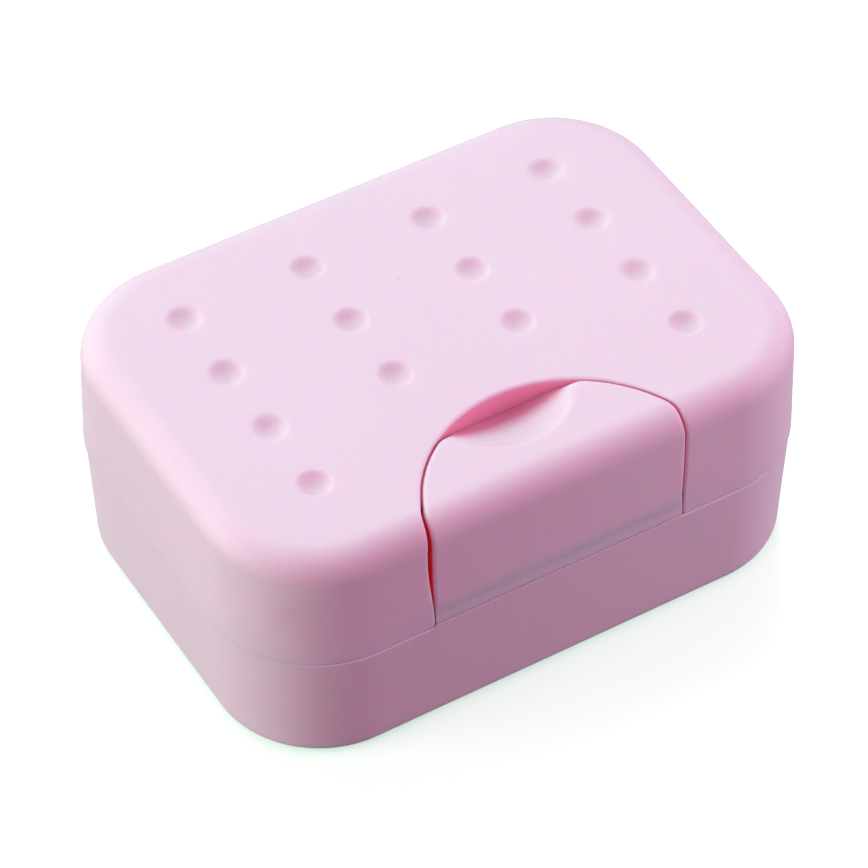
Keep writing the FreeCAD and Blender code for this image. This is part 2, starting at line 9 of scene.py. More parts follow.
import bmesh
import bpy
import numpy as np
from bpy.props import FloatProperty, FloatVectorProperty, PointerProperty
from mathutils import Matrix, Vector


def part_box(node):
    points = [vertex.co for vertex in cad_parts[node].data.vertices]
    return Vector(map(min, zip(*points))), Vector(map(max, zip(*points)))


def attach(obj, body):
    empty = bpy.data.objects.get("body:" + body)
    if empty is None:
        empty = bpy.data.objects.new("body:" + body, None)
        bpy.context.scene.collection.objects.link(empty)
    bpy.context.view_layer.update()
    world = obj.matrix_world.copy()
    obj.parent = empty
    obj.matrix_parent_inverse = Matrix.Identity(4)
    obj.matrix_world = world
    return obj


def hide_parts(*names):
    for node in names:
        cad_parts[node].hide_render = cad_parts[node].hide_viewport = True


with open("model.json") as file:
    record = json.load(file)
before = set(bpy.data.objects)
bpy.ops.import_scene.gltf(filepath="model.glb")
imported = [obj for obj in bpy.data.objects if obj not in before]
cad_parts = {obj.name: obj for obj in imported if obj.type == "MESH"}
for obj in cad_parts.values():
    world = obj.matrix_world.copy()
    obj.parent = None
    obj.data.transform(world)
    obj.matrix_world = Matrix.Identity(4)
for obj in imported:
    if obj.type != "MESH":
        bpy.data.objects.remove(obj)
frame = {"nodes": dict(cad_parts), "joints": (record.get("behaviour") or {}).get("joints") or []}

bl_info = {
    "name": "Travel Soap Box",
    "version": (1, 0, 0),
    "blender": (4, 5, 0),
    "location": "3D View > Sidebar > Soap Box",
    "description": "Builds the shells, latch, tray and stage of a travel soap box round its packed model",
    "category": "Object",
}

MM = 0.001
TINY = 1e-9              # keeps a division by a length from failing
WELD = 5e-7              # points nearer than this are joined
HAIR = 0.05 * MM         # half the width of a step that has to look sharp
QUARTER_TURN = np.pi / 2

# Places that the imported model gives
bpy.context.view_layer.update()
JOINTS = {joint["name"]: joint for joint in frame["joints"]}
HINGE_Y, HINGE_Z = JOINTS["lid_hinge"]["pos_m"][1:]
LATCH_AXIS_Y, LATCH_AXIS_Z = JOINTS["latch_hinge"]["pos_m"][1:]
LID_LOW, LID_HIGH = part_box("lid_shell")
TRAY_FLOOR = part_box("drain_tray")[0].z
HINGE_PIN_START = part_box("lid_hinge_pin_right")[0].x
HALF_LENGTH = LID_HIGH.x
HALF_WIDTH = -LID_LOW.y
TOP = LID_HIGH.z


# Properties

def length(name, size, text):
    """A length in millimetres as a property in Blender's metres."""
    return FloatProperty(name=name, description=text, default=size * MM, unit="LENGTH", precision=5)


def angle(name, degrees, text):
    """An angle property."""
    return FloatProperty(name=name, description=text, default=math.radians(degrees), subtype="ANGLE")


def colour(name, red, green, blue, text):
    """A linear colour property."""
    return FloatVectorProperty(name=name, description=text, default=(red, green, blue), size=3, min=0.0,
                               max=1.0, subtype="COLOR")


def amount(name, size, text):
    """A plain number property."""
    return FloatProperty(name=name, description=text, default=size, min=0.0)


class SoapBoxShells(bpy.types.PropertyGroup):
    """Sizes of the two shells."""
    corner: length("Corner radius", 20.0, "Corner radius seen from above")
    wall: length("Wall", 2.2, "Thickness of the walls, the floor and the top")
    seam: length("Seam", 0.03, "Gap between the two rims")
    overhang: length("Overhang", 0.4, "Lid beyond the base at the two ends")
    rim_step: length("Rim step", 0.15, "Base beyond the lid at the front and the rear")
    lid_draft: angle("Lid draft", 1.8, "Lean of the lid's wall")
    base_draft: angle("Base draft", 2.3, "Lean of the base's wall")
    top_round: length("Top rounding", 5.0, "Rounding of the lid's top edge")
    bottom_round: length("Bottom rounding", 2.0, "Rounding of the base's bottom edge")
    inner_round: length("Inner rounding", 2.5, "Rounding between floor and wall inside the base")
    edge_round: length("Edge rounding", 0.4, "Rounding of the moulded edges")
    lap_wall: length("Lap wall", 1.1, "Lid wall left outside the lip of the base")
    lap_gap: length("Lap gap", 0.3, "Gap between the lip and the lid")
    lip_height: length("Lip height", 2.6, "Lip of the base above its rim")
    foot_width: length("Foot width", 9.0, "Width of the flat foot ring")
    foot_recess: length("Foot recess", 0.8, "Hollow inside the foot ring")
    foot_pad: length("Foot pad", 8.0, "Radius of the round pad in that hollow")
    gate_mark: length("Gate mark", 0.6, "Radius of the moulding mark on the top")
    gate_mark_back: length("Gate mark place", 12.8, "Middle of the top to the moulding mark")


class SoapBoxDimples(bpy.types.PropertyGroup):
    """Sizes of the dimples in the top."""
    pitch_x: length("Pitch along", 23.6, "Spacing of the dimples along the box")
    pitch_y: length("Pitch across", 14.5, "Spacing of the dimples across the box")
    shift: length("Shift", 1.0, "Shift of the dimples towards the hinges")
    diameter: length("Diameter", 5.9, "Width of one dimple")
    depth: length("Depth", 1.1, "Depth of one dimple")
    softness: length("Softness", 0.03, "Softness of a dimple's rim")


class SoapBoxLatch(bpy.types.PropertyGroup):
    """Sizes of the latch and of the cut-out that it fills."""
    width: length("Width", 48.0, "Width of the cut-out")
    arch_start: length("Arch start", 2.8, "Front face to the start of the arch")
    arch_depth: length("Arch depth", 18.2, "Start of the arch to its crown")
    arch_corner: length("Arch corner", 7.0, "Radius of the sides of the arch")
    gap: length("Gap", 0.35, "Gap round the latch")
    flange_depth: length("Flange depth", 7.0, "Depth of the flange round the cut-out")
    flange_reach: length("Flange reach", 4.6, "Depth of the flange beside the front of the latch")
    flange_wall: length("Flange wall", 1.6, "Thickness of the flange")
    corner: length("Corner", 0.6, "Rounding of the lower corners of the cut-out")
    foot_corner: length("Foot corner", 0.4, "Rounding of the lower corners of the latch")
    dish_radius: length("Dish radius", 12.3, "Radius of the finger dish")
    dish_depth: length("Dish depth", 5.0, "Depth of the finger dish")
    dish_wall: length("Dish wall", 2.0, "Wall under the finger dish")
    dish_setback: length("Dish setback", 0.3, "Middle of the dish behind the crown of the arch")
    dish_gap: length("Dish gap", 0.04, "Gap behind the finger dish")
    toe_left: length("Left toe", 0.55, "Seam under the left end of the latch above the rim")
    toe_right: length("Right toe", 0.30, "Seam under the right end of the latch above the rim")
    dish_tip: length("Dish tips", 3.2, "Rounding of the two tips beside the dish")
    dish_softness: length("Dish softness", 0.16, "Softness of the edge of the dish")
    rib: length("Rib", 4.4, "Rib along the edge of the latch, beyond its wall")
    barrel: length("Barrel radius", 2.0, "Barrel that turns on the latch pins")
    ear_radius: length("Ear radius", 1.4, "Half the width of an ear of the base")
    ear_thickness: length("Ear thickness", 4.0, "Ear of the base along the box")
    ear_foot: length("Ear foot", 8.0, "How far an ear runs down inside the base")
    ear_cover: length("Ear cover", 0.75, "Lid wall in front of an ear")
    ear_room: length("Ear room", 0.35, "Gap between an ear and the lid")


class SoapBoxHinge(bpy.types.PropertyGroup):
    """Sizes of the rear hinges."""
    knuckle: length("Knuckle radius", 2.4, "Radius of a knuckle")
    knuckle_length: length("Knuckle length", 5.0, "One knuckle along the box")
    knuckle_gap: length("Knuckle gap", 0.4, "Gap between two knuckles")
    relief: length("Relief", 0.35, "Gap between a knuckle and the other shell")


class SoapBoxColours(bpy.types.PropertyGroup):
    """Colours and finishes."""
    shell: colour("Shell", 0.86, 0.71, 0.815, "Pink of the shells")
    # Painted light: the pink stands for shade and light bounced inside narrow gaps, the red for light bounced
    # in the slot beside the latch
    gap_shade: colour("Gap", 0.88, 0.30, 0.46, "Pink that light takes on inside narrow gaps")
    slot: colour("Slot", 0.55, 0.01, 0.012, "Red that light takes on in the slot beside the latch")
    tray: colour("Tray", 0.86, 0.66, 0.77, "Pale pink of the tray")
    steel: colour("Steel", 0.60, 0.60, 0.62, "Drawn wire of the pins")
    floor: colour("Floor", 0.95, 0.97, 0.90, "Floor under its pale glow, as the camera sees it")
    bounce: colour("Bounce", 0.08, 0.03, 0.05, "Floor as the object sees it")
    floor_glow: colour("Floor glow", 0.31, 0.56, 0.46, "Glow of the floor for the camera and reflections")
    roughness: amount("Roughness", 0.50, "Roughness of the satin shells")


class SoapBoxStage(bpy.types.PropertyGroup):
    """Camera and light."""
    azimuth: angle("Azimuth", -30.96, "Turn of the camera from the front")
    elevation: angle("Elevation", 46.29, "Height of the camera as an angle")
    lens: FloatProperty(name="Lens", description="Focal length on a 36 mm sensor", default=179.9, min=1.0,
                        unit="CAMERA")
    eye: FloatVectorProperty(name="Eye", description="Place of the camera", size=3, subtype="XYZ",
                             unit="LENGTH", default=(-0.2627, -0.4367, 0.5530))
    key: amount("Key light", 9.0, "Power of the large soft light on the left")
    key_tint: colour("Key tint", 0.84, 1.0, 0.90, "Tint of the light on the left")
    top: amount("Top light", 11.0, "Power of the soft light overhead")
    top_tint: colour("Top tint", 0.55, 1.0, 0.88, "Tint of the light overhead")
    side: amount("Side light", 0.54, "Power of the soft light in front and on the right")
    side_tint: colour("Side tint", 0.92, 0.85, 1.0, "Tint of the light in front and on the right")
    around: amount("Surroundings", 0.53, "Strength of the light from all round")
    around_tint: colour("Surroundings tint", 1.0, 0.39, 0.64, "Tint of the light from all round")


PROPERTY_GROUPS = {
    "soap_box_shells": SoapBoxShells,
    "soap_box_dimples": SoapBoxDimples,
    "soap_box_latch": SoapBoxLatch,
    "soap_box_hinge": SoapBoxHinge,
    "soap_box_colours": SoapBoxColours,
    "soap_box_stage": SoapBoxStage,
}


# Plain numpy helpers

def smoothstep(low, high, x):
    """0 below low, 1 above high and an S-curve between them."""
    t = np.clip((x - low) / (high - low), 0.0, 1.0)
    return t * t * (3.0 - 2.0 * t)


def step_at(edge, x, half=HAIR):
    """0 below an edge and 1 above it, with a short S-curve across it."""
    return smoothstep(edge - half, edge + half, x)


def soft_positive(x, softness):
    """x where it is well above zero, zero where it is well below, and a smooth bend between."""
    return softness * np.logaddexp(0.0, x / softness)


def arc(centre, radius, turn):
    """Points of a circle at angles, and the unit vectors from the centre to them."""
    outward = np.stack([np.cos(turn), np.sin(turn)], -1)
    return np.asarray(centre) + radius * outward, outward


def ruled(first, last, share):
    """Places on straight lines from the points of one row to those of another, by shares of the way."""
    return first[:, None] + share[..., None] * (last - first)[:, None]


def mirrored(points):
    """The same places on the other side of the middle plane, in the opposite order."""
    return points[::-1] * np.array([-1.0] + [1.0] * (points.shape[-1] - 1))


def stretch(breaks, pitch):
    """Places from the first break to the last that hit every break and are at most about a pitch apart."""
    parts = [np.linspace(a, b, max(2, int(math.ceil((b - a) / pitch)) + 1))[:-1]
             for a, b in zip(breaks[:-1], breaks[1:])]
    return np.concatenate(parts + [np.array([breaks[-1]])])


# Meshes from grids

NORMAL_WEIGHT = 60
CAP_POINTS, TURNED_SIDES = 5, 48


def grid_faces(rows, columns):
    """Four-sided faces of a grid whose points are numbered row by row."""
    row, column = np.mgrid[0:rows - 1, 0:columns - 1]
    first = row * columns + column
    return np.stack([first, first + columns, first + columns + 1, first + 1], -1).reshape(-1, 4)


class Patch:
    """A grid of points with a tone for each, which the material turns into painted light: above zero a
    painted highlight on thin edges, below zero painted shade inside narrow gaps and hollows.
    """

    def __init__(self, points, tone=0.0, faces=None):
        self.points = points
        self.tone = np.broadcast_to(tone, points.shape[:-1])
        self.faces = grid_faces(*points.shape[:2]) if faces is None else faces


def piece(name, patches, material, body, nodes=()):
    """One closed mesh from patches, joined where their borders meet, with its faces outwards."""
    points, tones, faces, start = [], [], [], 0
    for patch in patches:
        points.append(patch.points.reshape(-1, 3))
        tones.append(patch.tone.reshape(-1))
        faces.extend((patch.faces + start).tolist())
        start += len(points[-1])
    mesh = bpy.data.meshes.new(name)
    mesh.from_pydata(np.concatenate(points).tolist(), [], faces)
    tone = mesh.attributes.new("tone", "FLOAT", "POINT")
    tone.data.foreach_set("value", np.concatenate(tones).astype(np.float32))
    shape = bmesh.new()
    shape.from_mesh(mesh)
    bmesh.ops.remove_doubles(shape, verts=shape.verts, dist=WELD)
    bmesh.ops.recalc_face_normals(shape, faces=shape.faces)
    shape.to_mesh(mesh)
    shape.free()
    mesh.shade_smooth()
    mesh.materials.append(material)
    item = bpy.data.objects.new(name, mesh)
    bpy.context.scene.collection.objects.link(item)
    even = item.modifiers.new("even_shading", "WEIGHTED_NORMAL")
    even.weight = NORMAL_WEIGHT
    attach(item, body)
    if nodes:
        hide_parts(*nodes)
    return item


def outline_normals(outline):
    """Unit normals of a closed outline of points, to the right of the way round it."""
    along = np.roll(outline, -1, axis=0) - np.roll(outline, 1, axis=0)
    along /= np.maximum(np.linalg.norm(along, axis=1, keepdims=True), TINY)
    return np.stack([along[:, 1], -along[:, 0]], -1)


def along_x(outline, start, end, rounding):
    """A closed outline in y and z carried along x, drawn in at both ends by a quarter circle, and capped.

    The outline runs anticlockwise seen from +x, so its normals point out of the bar.
    """
    turn = np.linspace(0.0, QUARTER_TURN, CAP_POINTS)
    run = rounding * (1.0 - np.cos(turn))
    draw = rounding * (1.0 - np.sin(turn))
    x = np.concatenate([start + run, end - run[::-1]])
    draw = np.concatenate([draw, draw[::-1]])
    closed = np.concatenate([outline, outline[:1]])
    normals = outline_normals(outline)
    normals = np.concatenate([normals, normals[:1]])
    section = closed[None] - draw[:, None, None] * normals[None]
    middle = np.broadcast_to(outline.mean(axis=0), section[:1].shape)
    section = np.concatenate([middle, section, middle])
    x = np.concatenate([x[:1], x, x[-1:]])
    places = np.broadcast_to(x[:, None, None], section.shape[:2] + (1,))
    return Patch(np.concatenate([places, section], -1))


def both_ways(outline, start, end, rounding):
    """A bar along x on the right of the box, and its twin on the left."""
    return [along_x(outline, start, end, rounding), along_x(outline, -end, -start, rounding)]


def turned(profile, middle):
    """A profile of radius and height carried round an upright axis."""
    turn = np.linspace(0.0, 2.0 * np.pi, TURNED_SIDES + 1)
    radius, height = np.asarray(profile).T
    x = middle[0] + radius[:, None] * np.cos(turn)
    y = middle[1] + radius[:, None] * np.sin(turn)
    return Patch(np.stack([x, y, np.broadcast_to(height[:, None], x.shape)], -1))


# Lid skin and cut-out

# Heights up the front at which the side edges' lean is greatest, fades and is gone, and how far from the
# middle it sets in
SHIFT_GROWN, SHIFT_FADES, SHIFT_GONE, SHIFT_START = 15.0 * MM, 17.0 * MM, 29.0 * MM, 15.0 * MM
# Lean of each side edge at its foot and where it is greatest
LID_LEFT, LID_RIGHT = (0.0, 1.10 * MM), (0.0, 0.30 * MM)
LATCH_LEFT, LATCH_RIGHT = (0.20 * MM, 0.35 * MM), (0.0, 0.30 * MM)
TOE_CURVE = 1.5


class LidSkin:
    """The outside of the lid, laid out flat.

    A place on it is a point (x, y) of a flat sheet: the top lies as it is, and the rounded edge and the wall
    are unrolled outwards round it. Going out from the top's core rectangle by a distance, the surface first
    runs level, then round a quarter circle, then straight down the leaning wall.
    """

    def __init__(self, scene):
        shells = scene.soap_box_shells
        self.core = np.array([HALF_LENGTH, HALF_WIDTH - shells.rim_step]) - shells.corner
        self.rim_height = HINGE_Z + shells.seam / 2
        self.round = shells.top_round
        self.full_turn = QUARTER_TURN - shells.lid_draft
        self.sine, self.cosine = math.sin(self.full_turn), math.cos(self.full_turn)
        wall_drop = TOP - self.rim_height - self.round * (1.0 - self.cosine)
        wall_run = wall_drop / self.sine
        self.flat_end = shells.corner - self.round * self.sine - wall_run * self.cosine
        self.round_end = self.flat_end + self.round * self.full_turn
        self.rim = self.round_end + wall_run
        self.front = -self.core[1] - self.rim

    def laid_out_y(self, y):
        """Place across the sheet of a point of the top or of the front rounding at plan depth y."""
        reach = np.maximum(-y - self.core[1] - self.flat_end, 0.0)
        return np.where(reach > 0.0, -self.core[1] - self.flat_end
                        - self.round * np.arcsin(np.minimum(reach / self.round, 1.0)), y)

    def point(self, place, inward=0.0):
        """The point of space at a place of the sheet, taken inwards along the normal."""
        foot = np.clip(place, -self.core, self.core)
        away = place - foot
        distance = np.linalg.norm(away, axis=-1)
        direction = away / np.maximum(distance, TINY)[..., None]
        turn = np.clip((distance - self.flat_end) / self.round, 0.0, self.full_turn)
        wall = np.maximum(distance - self.round_end, 0.0)
        radius = self.round - inward
        reach = np.minimum(distance, self.flat_end) + radius * np.sin(turn) + wall * self.cosine
        height = TOP - self.round + radius * np.cos(turn) - wall * self.sine
        return np.concatenate([foot + direction * reach[..., None], height[..., None]], -1)

    def rim_place(self, along, radius):
        """Places of the rim, and the unit vectors outwards, from the middle of the rear round to the front.

        The way is measured along the real rim: straight, corner, straight end, corner, straight.
        """
        quarter = radius * QUARTER_TURN
        core_x, core_y = self.core
        marks = np.cumsum([0.0, core_x, quarter, 2.0 * core_y, quarter, core_x])
        x = np.interp(along, marks, [0.0, core_x, core_x, core_x, core_x, 0.0])
        y = np.interp(along, marks, [core_y, core_y, core_y, -core_y, -core_y, -core_y])
        turn = np.interp(along, marks, np.array([1.0, 1.0, 0.0, 0.0, -1.0, -1.0]) * QUARTER_TURN)
        return arc(np.stack([x, y], -1), self.rim, turn)


class ArchOutline:
    """The outline of the cut-out, drawn in by an inset for the latch."""

    def __init__(self, scene, inset):
        latch = scene.soap_box_latch
        spring = latch.arch_start - HALF_WIDTH
        side_x = latch.width / 2 - latch.arch_corner
        rise = latch.arch_depth - latch.arch_corner
        crown = latch.arch_depth + (side_x ** 2 - rise ** 2) / (2.0 * rise)
        self.half = latch.width / 2 - inset
        self.side_centre = np.array([side_x, spring])
        self.side_radius = latch.arch_corner - inset
        self.crown_centre = np.array([0.0, spring + latch.arch_depth - crown])
        self.crown_radius = crown - inset
        self.meet = math.atan2(*(self.side_centre - self.crown_centre)[::-1])

    def crown_arc(self, share):
        """Points and outward normals of the crown, from its middle to its end, by shares of the way."""
        return arc(self.crown_centre, self.crown_radius, QUARTER_TURN + share * (self.meet - QUARTER_TURN))

    def side_arc(self, share):
        """Points and outward normals of the right side of the arch, from the crown down, by shares."""
        return arc(self.side_centre, self.side_radius, self.meet * (1.0 - share))

    def depth_inside(self, place):
        """Distance of a place of the top inside the arch."""
        side = np.stack([np.abs(place[..., 0]), place[..., 1]], -1)
        from_crown = side - self.crown_centre
        on_crown = np.arctan2(from_crown[..., 1], from_crown[..., 0]) > self.meet
        crown = self.crown_radius - np.linalg.norm(from_crown, axis=-1)
        flank = self.side_radius - np.linalg.norm(side - self.side_centre, axis=-1)
        below = self.half - side[..., 0]
        return np.where(on_crown, crown, np.where(side[..., 1] > self.side_centre[1], flank, below))


def laid_out(skin, points, outward):
    """Plan points of the arch and their normals on the flat sheet."""
    places = np.stack([points[:, 0], skin.laid_out_y(points[:, 1])], -1)
    along = np.gradient(places, axis=0)
    normals = np.stack([-along[:, 1], along[:, 0]], -1)
    normals /= np.linalg.norm(normals, axis=1, keepdims=True)
    facing = np.sign((normals * outward).sum(axis=1, keepdims=True))
    return places, normals * facing


ROUND_POINTS = 6
WALL_SHARES = (0.1, 0.25, 0.5, 1.0)
WALL_POINTS = ROUND_POINTS + len(WALL_SHARES)
# Strength of the painted highlight along a rounded edge
EDGE_HIGHLIGHT = 0.5


def edge_section(rounding, depth, width, wall):
    """Section of a rim from the outer skin to the inner one, as distances into the sheet and depths inwards.

    It rounds the outer edge by a quarter circle, runs in to a depth, along by a width, and on to the inner
    skin.
    """
    turn = np.linspace(0.0, QUARTER_TURN, ROUND_POINTS)
    ones = np.ones_like(depth)
    rounding = rounding * ones
    small = np.minimum(rounding / 2, depth / 4)
    run = np.maximum(depth - small - rounding, 0.0)
    deeper = np.sign(depth - wall)
    across = [rounding * (1.0 - math.sin(t)) for t in turn]
    inward = [rounding * (1.0 - math.cos(t)) for t in turn]
    across += [0.0 * ones] * len(WALL_SHARES) + [small, width - small, width, width]
    inward += [rounding + share * run for share in WALL_SHARES]
    inward += [depth, depth, depth - small * deeper, wall]
    return np.stack(across, -1), np.stack(inward, -1)


def edge_tone(inward, rounding, depths, gap_shade):
    """Tone of a moulded edge: a painted highlight along its rounding, painted shade deeper down its wall in
    the gap, plain further in.
    """
    round_share = np.clip(inward / np.maximum(rounding, TINY), 0.0, 1.0)
    tone = EDGE_HIGHLIGHT * np.sin(np.pi * round_share) - gap_shade * smoothstep(*depths, inward)
    tone[:, WALL_POINTS:] = 0.0
    return tone


def side_shift(places, skin, left, right):
    """Sideways shift of a side edge of the cut-out or of the latch, out from the middle.

    A pair gives the shift at the foot and the shift that it has grown to half-way up the wall; it fades out
    again on the rounding.
    """
    above = places[..., 1] - skin.front
    grown = smoothstep(0.0, SHIFT_GROWN, above)
    kept = 1.0 - smoothstep(SHIFT_FADES, SHIFT_GONE, above)
    on_left = places[..., 0] < 0.0
    foot = np.where(on_left, -left[0], right[0])
    full = np.where(on_left, -left[1], right[1])
    beside = np.minimum(np.abs(places[..., 0]) / SHIFT_START, 1.0)
    return np.stack([(foot + (full - foot) * grown) * kept * beside, np.zeros_like(above)], -1)


def toe_rise(scene, x):
    """Height of the seam under the latch above the rim, along the latch."""
    latch = scene.soap_box_latch
    share = np.clip(0.5 - x / latch.width, 0.0, 1.0)
    return latch.toe_right + (latch.toe_left - latch.toe_right) * share ** TOE_CURVE


# Hinges

BASE_KNUCKLES, LID_KNUCKLES = (0, 2), (1,)
KNUCKLE_POINTS, KNUCKLE_END, KNUCKLE_ROUND = 28, 0.06, 0.3 * MM
WEB_DEPTH, WEB_LIFT = 0.8 * MM, 0.15 * MM


def hinge_start(hinge, place):
    """Left end of the first, second or third knuckle of the right hinge."""
    return HINGE_PIN_START + place * (hinge.knuckle_length + hinge.knuckle_gap)


def knuckle_outline(hinge, up):
    """A knuckle seen from +x: a circle with a flat web to the wall.

    The web is above the seam for the lid and below it for the base.
    """
    sweep = arc((HINGE_Y, HINGE_Z), hinge.knuckle,
                np.linspace(QUARTER_TURN, KNUCKLE_END - np.pi, KNUCKLE_POINTS))[0]
    web_back = HALF_WIDTH - WEB_DEPTH
    web = np.array([[web_back, HINGE_Z + WEB_LIFT], [web_back, HINGE_Z + hinge.knuckle]])
    outline = np.concatenate([sweep, web])
    if up:
        return outline[::-1]
    return outline * np.array([1.0, -1.0]) + np.array([0.0, 2.0 * HINGE_Z])


def knuckles(hinge, places, up):
    """Knuckles of one shell at both hinges, a hair short at each end."""
    outline = knuckle_outline(hinge, up)
    bars = []
    for place in places:
        start = hinge_start(hinge, place) + HAIR
        bars += both_ways(outline, start, start + hinge.knuckle_length - 2.0 * HAIR, KNUCKLE_ROUND)
    return bars


def rooms(hinge, places):
    """Ends along x of the rooms that the other shell's knuckles at these places need."""
    starts = [hinge_start(hinge, place) - hinge.knuckle_gap for place in places]
    return [(start, start + hinge.knuckle_length + 2.0 * hinge.knuckle_gap) for start in starts]


def clear_of_knuckles(points, hinge, places):
    """Points of a shell pushed inwards, out of the room that the knuckles of the other shell need."""
    room = hinge.knuckle + hinge.relief
    up = points[..., 2] - HINGE_Z
    target = HINGE_Y - np.sqrt(np.maximum(room ** 2 - up ** 2, 0.0))
    x = np.abs(points[..., 0])
    near = np.zeros_like(x)
    for start, end in rooms(hinge, places):
        near = np.maximum(near, step_at(start, x) * (1.0 - step_at(end, x)))
    behind = (points[..., 1] > target) & (np.abs(up) < room)
    moved = points.copy()
    moved[..., 1] -= np.where(behind, (points[..., 1] - target) * near, 0.0)
    return moved


def room_edges(hinge, places):
    """Ends along x of the rooms for the other shell's knuckles, a hair to each side of each."""
    return [x + side for room in rooms(hinge, places) for x in room for side in (-HAIR, HAIR)]


# Lid

SKIN_ROWS, LINING_STEP, TRIAL_ROWS = 150, 5, 500
LEVEL_WEIGHT, ROUND_WEIGHT, WALL_WEIGHT = 1.0, 2.2, 0.35
ROUND_NEARS, WALL_NEARS = (-2.0 * MM, 1.0 * MM), (-1.0 * MM, 3.0 * MM)
DIMPLE_GRID = (-1.5, -0.5, 0.5, 1.5)
# Painted shade inside the dimples, and the shares of a dimple's depth over which it sets in
DIMPLE_SHADE, DIMPLE_EDGE = -0.14, (0.05, 0.6)
REAR_PITCH = 0.62 * MM
CROWN_ON_REAR = 0.62                          # share of the crown that faces the rear wall
SIDE_RUN, CORNER_RUN = 9.0 * MM, 3.0 * MM     # rim that the side of the arch and the lower corner face
BORDER_POINTS = (62, 14, 42, 12)              # on the end, the side, the straight side and the lower corner
FLANGE_GROWS = 5.0 * MM
CORNER_SPARE = 0.15 * MM
# Painted shade down the wall of the gap round the cut-out: the depths between which it sets in, and how much
# more of it there is further than GAP_NARROWS from the middle
GAP_DEPTHS = (0.15 * MM, 0.8 * MM)            # between which the gap's tone sets in
GAP_NARROWS, NARROW_GAP_SHADE = (13.0 * MM, 16.0 * MM), 0.2


def dimple_drop(scene, place):
    """Depth of the top at a place: shallow bowls on a grid, less the two places that the latch takes."""
    dimples = scene.soap_box_dimples
    drop = np.zeros(place.shape[:-1])
    radius = dimples.diameter / 2
    for column in DIMPLE_GRID:
        for row in DIMPLE_GRID:
            if row < -1.0 and abs(column) < 1.0:
                continue
            middle = np.array([column * dimples.pitch_x, row * dimples.pitch_y + dimples.shift])
            share = np.linalg.norm(place - middle, axis=-1) / radius
            drop += soft_positive(dimples.depth * (1.0 - share ** 2), dimples.softness) * (share < 2.0)
    return drop


def even_rows(skin, inner, outer, rows):
    """Shares of the way from the cut-out to the rim, close on the rounding and wide apart on the wall."""
    fine = np.linspace(0.0, 1.0, TRIAL_ROWS)
    places = ruled(inner, outer, fine[None])
    distance = np.linalg.norm(places - np.clip(places, -skin.core, skin.core), axis=-1)
    on_round = smoothstep(*ROUND_NEARS, distance - skin.flat_end)
    on_wall = smoothstep(*WALL_NEARS, distance - skin.round_end)
    weight = (LEVEL_WEIGHT + (ROUND_WEIGHT - LEVEL_WEIGHT) * on_round
              + (WALL_WEIGHT - ROUND_WEIGHT) * on_wall)
    cost = np.cumsum(weight, axis=1)
    cost = (cost - cost[:, :1]) / (cost[:, -1:] - cost[:, :1])
    wanted = np.linspace(0.0, 1.0, rows)
    return np.stack([np.interp(wanted, column, fine) for column in cost])


def lid_borders(scene, skin):
    """The cut-out's edge and the rim as matching rows of places on the sheet, with normals into the lid.

    From the middle out: the crown faces the rear wall and half its corner, the side of the arch faces the end
    wall, and the straight side and the lower corner face the front corner of the box.
    """
    latch, shells = scene.soap_box_latch, scene.soap_box_shells
    arch = ArchOutline(scene, 0.0)
    quarter = shells.corner * QUARTER_TURN
    rear_end = skin.core[0] + quarter / 2
    side_end = rear_end + quarter / 2 + 2.0 * skin.core[1]
    whole = side_end + quarter
    rear_way = stretch([0.0] + room_edges(scene.soap_box_hinge, BASE_KNUCKLES) + [rear_end], REAR_PITCH)
    shares = [np.linspace(0.0, 1.0, count)[1:] for count in BORDER_POINTS]
    marks = (rear_end, side_end - SIDE_RUN, side_end, whole - CORNER_RUN, whole)
    ways = [start + share * (end - start) for start, end, share in zip(marks[:-1], marks[1:], shares)]
    end_share, side_share, straight_share, corner_share = shares
    crown, crown_out = arch.crown_arc(np.concatenate([
        CROWN_ON_REAR * rear_way / rear_end, CROWN_ON_REAR + (1.0 - CROWN_ON_REAR) * end_share]))
    side, side_out = arch.side_arc(side_share)
    places, normals = laid_out(skin, np.concatenate([crown, side]), np.concatenate([crown_out, side_out]))
    low = skin.front + latch.corner
    straight = np.stack([np.full_like(straight_share, arch.half),
                         places[-1, 1] + straight_share * (low - places[-1, 1])], -1)
    corner, from_centre = arc((arch.half + latch.corner, low), latch.corner,
                              np.pi + QUARTER_TURN * corner_share)
    inner = np.concatenate([places, straight, corner])
    inner_in = np.concatenate([normals, np.broadcast_to([1.0, 0.0], straight.shape), -from_centre])
    outer, outward = skin.rim_place(np.concatenate([rear_way] + ways), shells.corner)
    borders = [np.concatenate([mirrored(half)[:-1], half]) for half in (inner, inner_in, outer, -outward)]
    borders[0] = borders[0] + side_shift(borders[0], skin, LID_LEFT, LID_RIGHT)
    return borders


def lid_wall(scene, skin, place):
    """Thickness of the lid at a place: the plain wall, thinner in the room for the ears of the base."""
    shells, latch = scene.soap_box_shells, scene.soap_box_latch
    room_end = latch.width / 2 + latch.ear_thickness + latch.ear_room
    room_top = LATCH_AXIS_Z + latch.ear_radius + latch.ear_room - skin.rim_height
    beside = 1.0 - step_at(room_end, np.abs(place[..., 0]), 2.0 * HAIR)
    low = 1.0 - step_at(room_top, place[..., 1] - skin.front, 2.0 * HAIR)
    return shells.wall - (shells.wall - latch.ear_cover) * beside * low


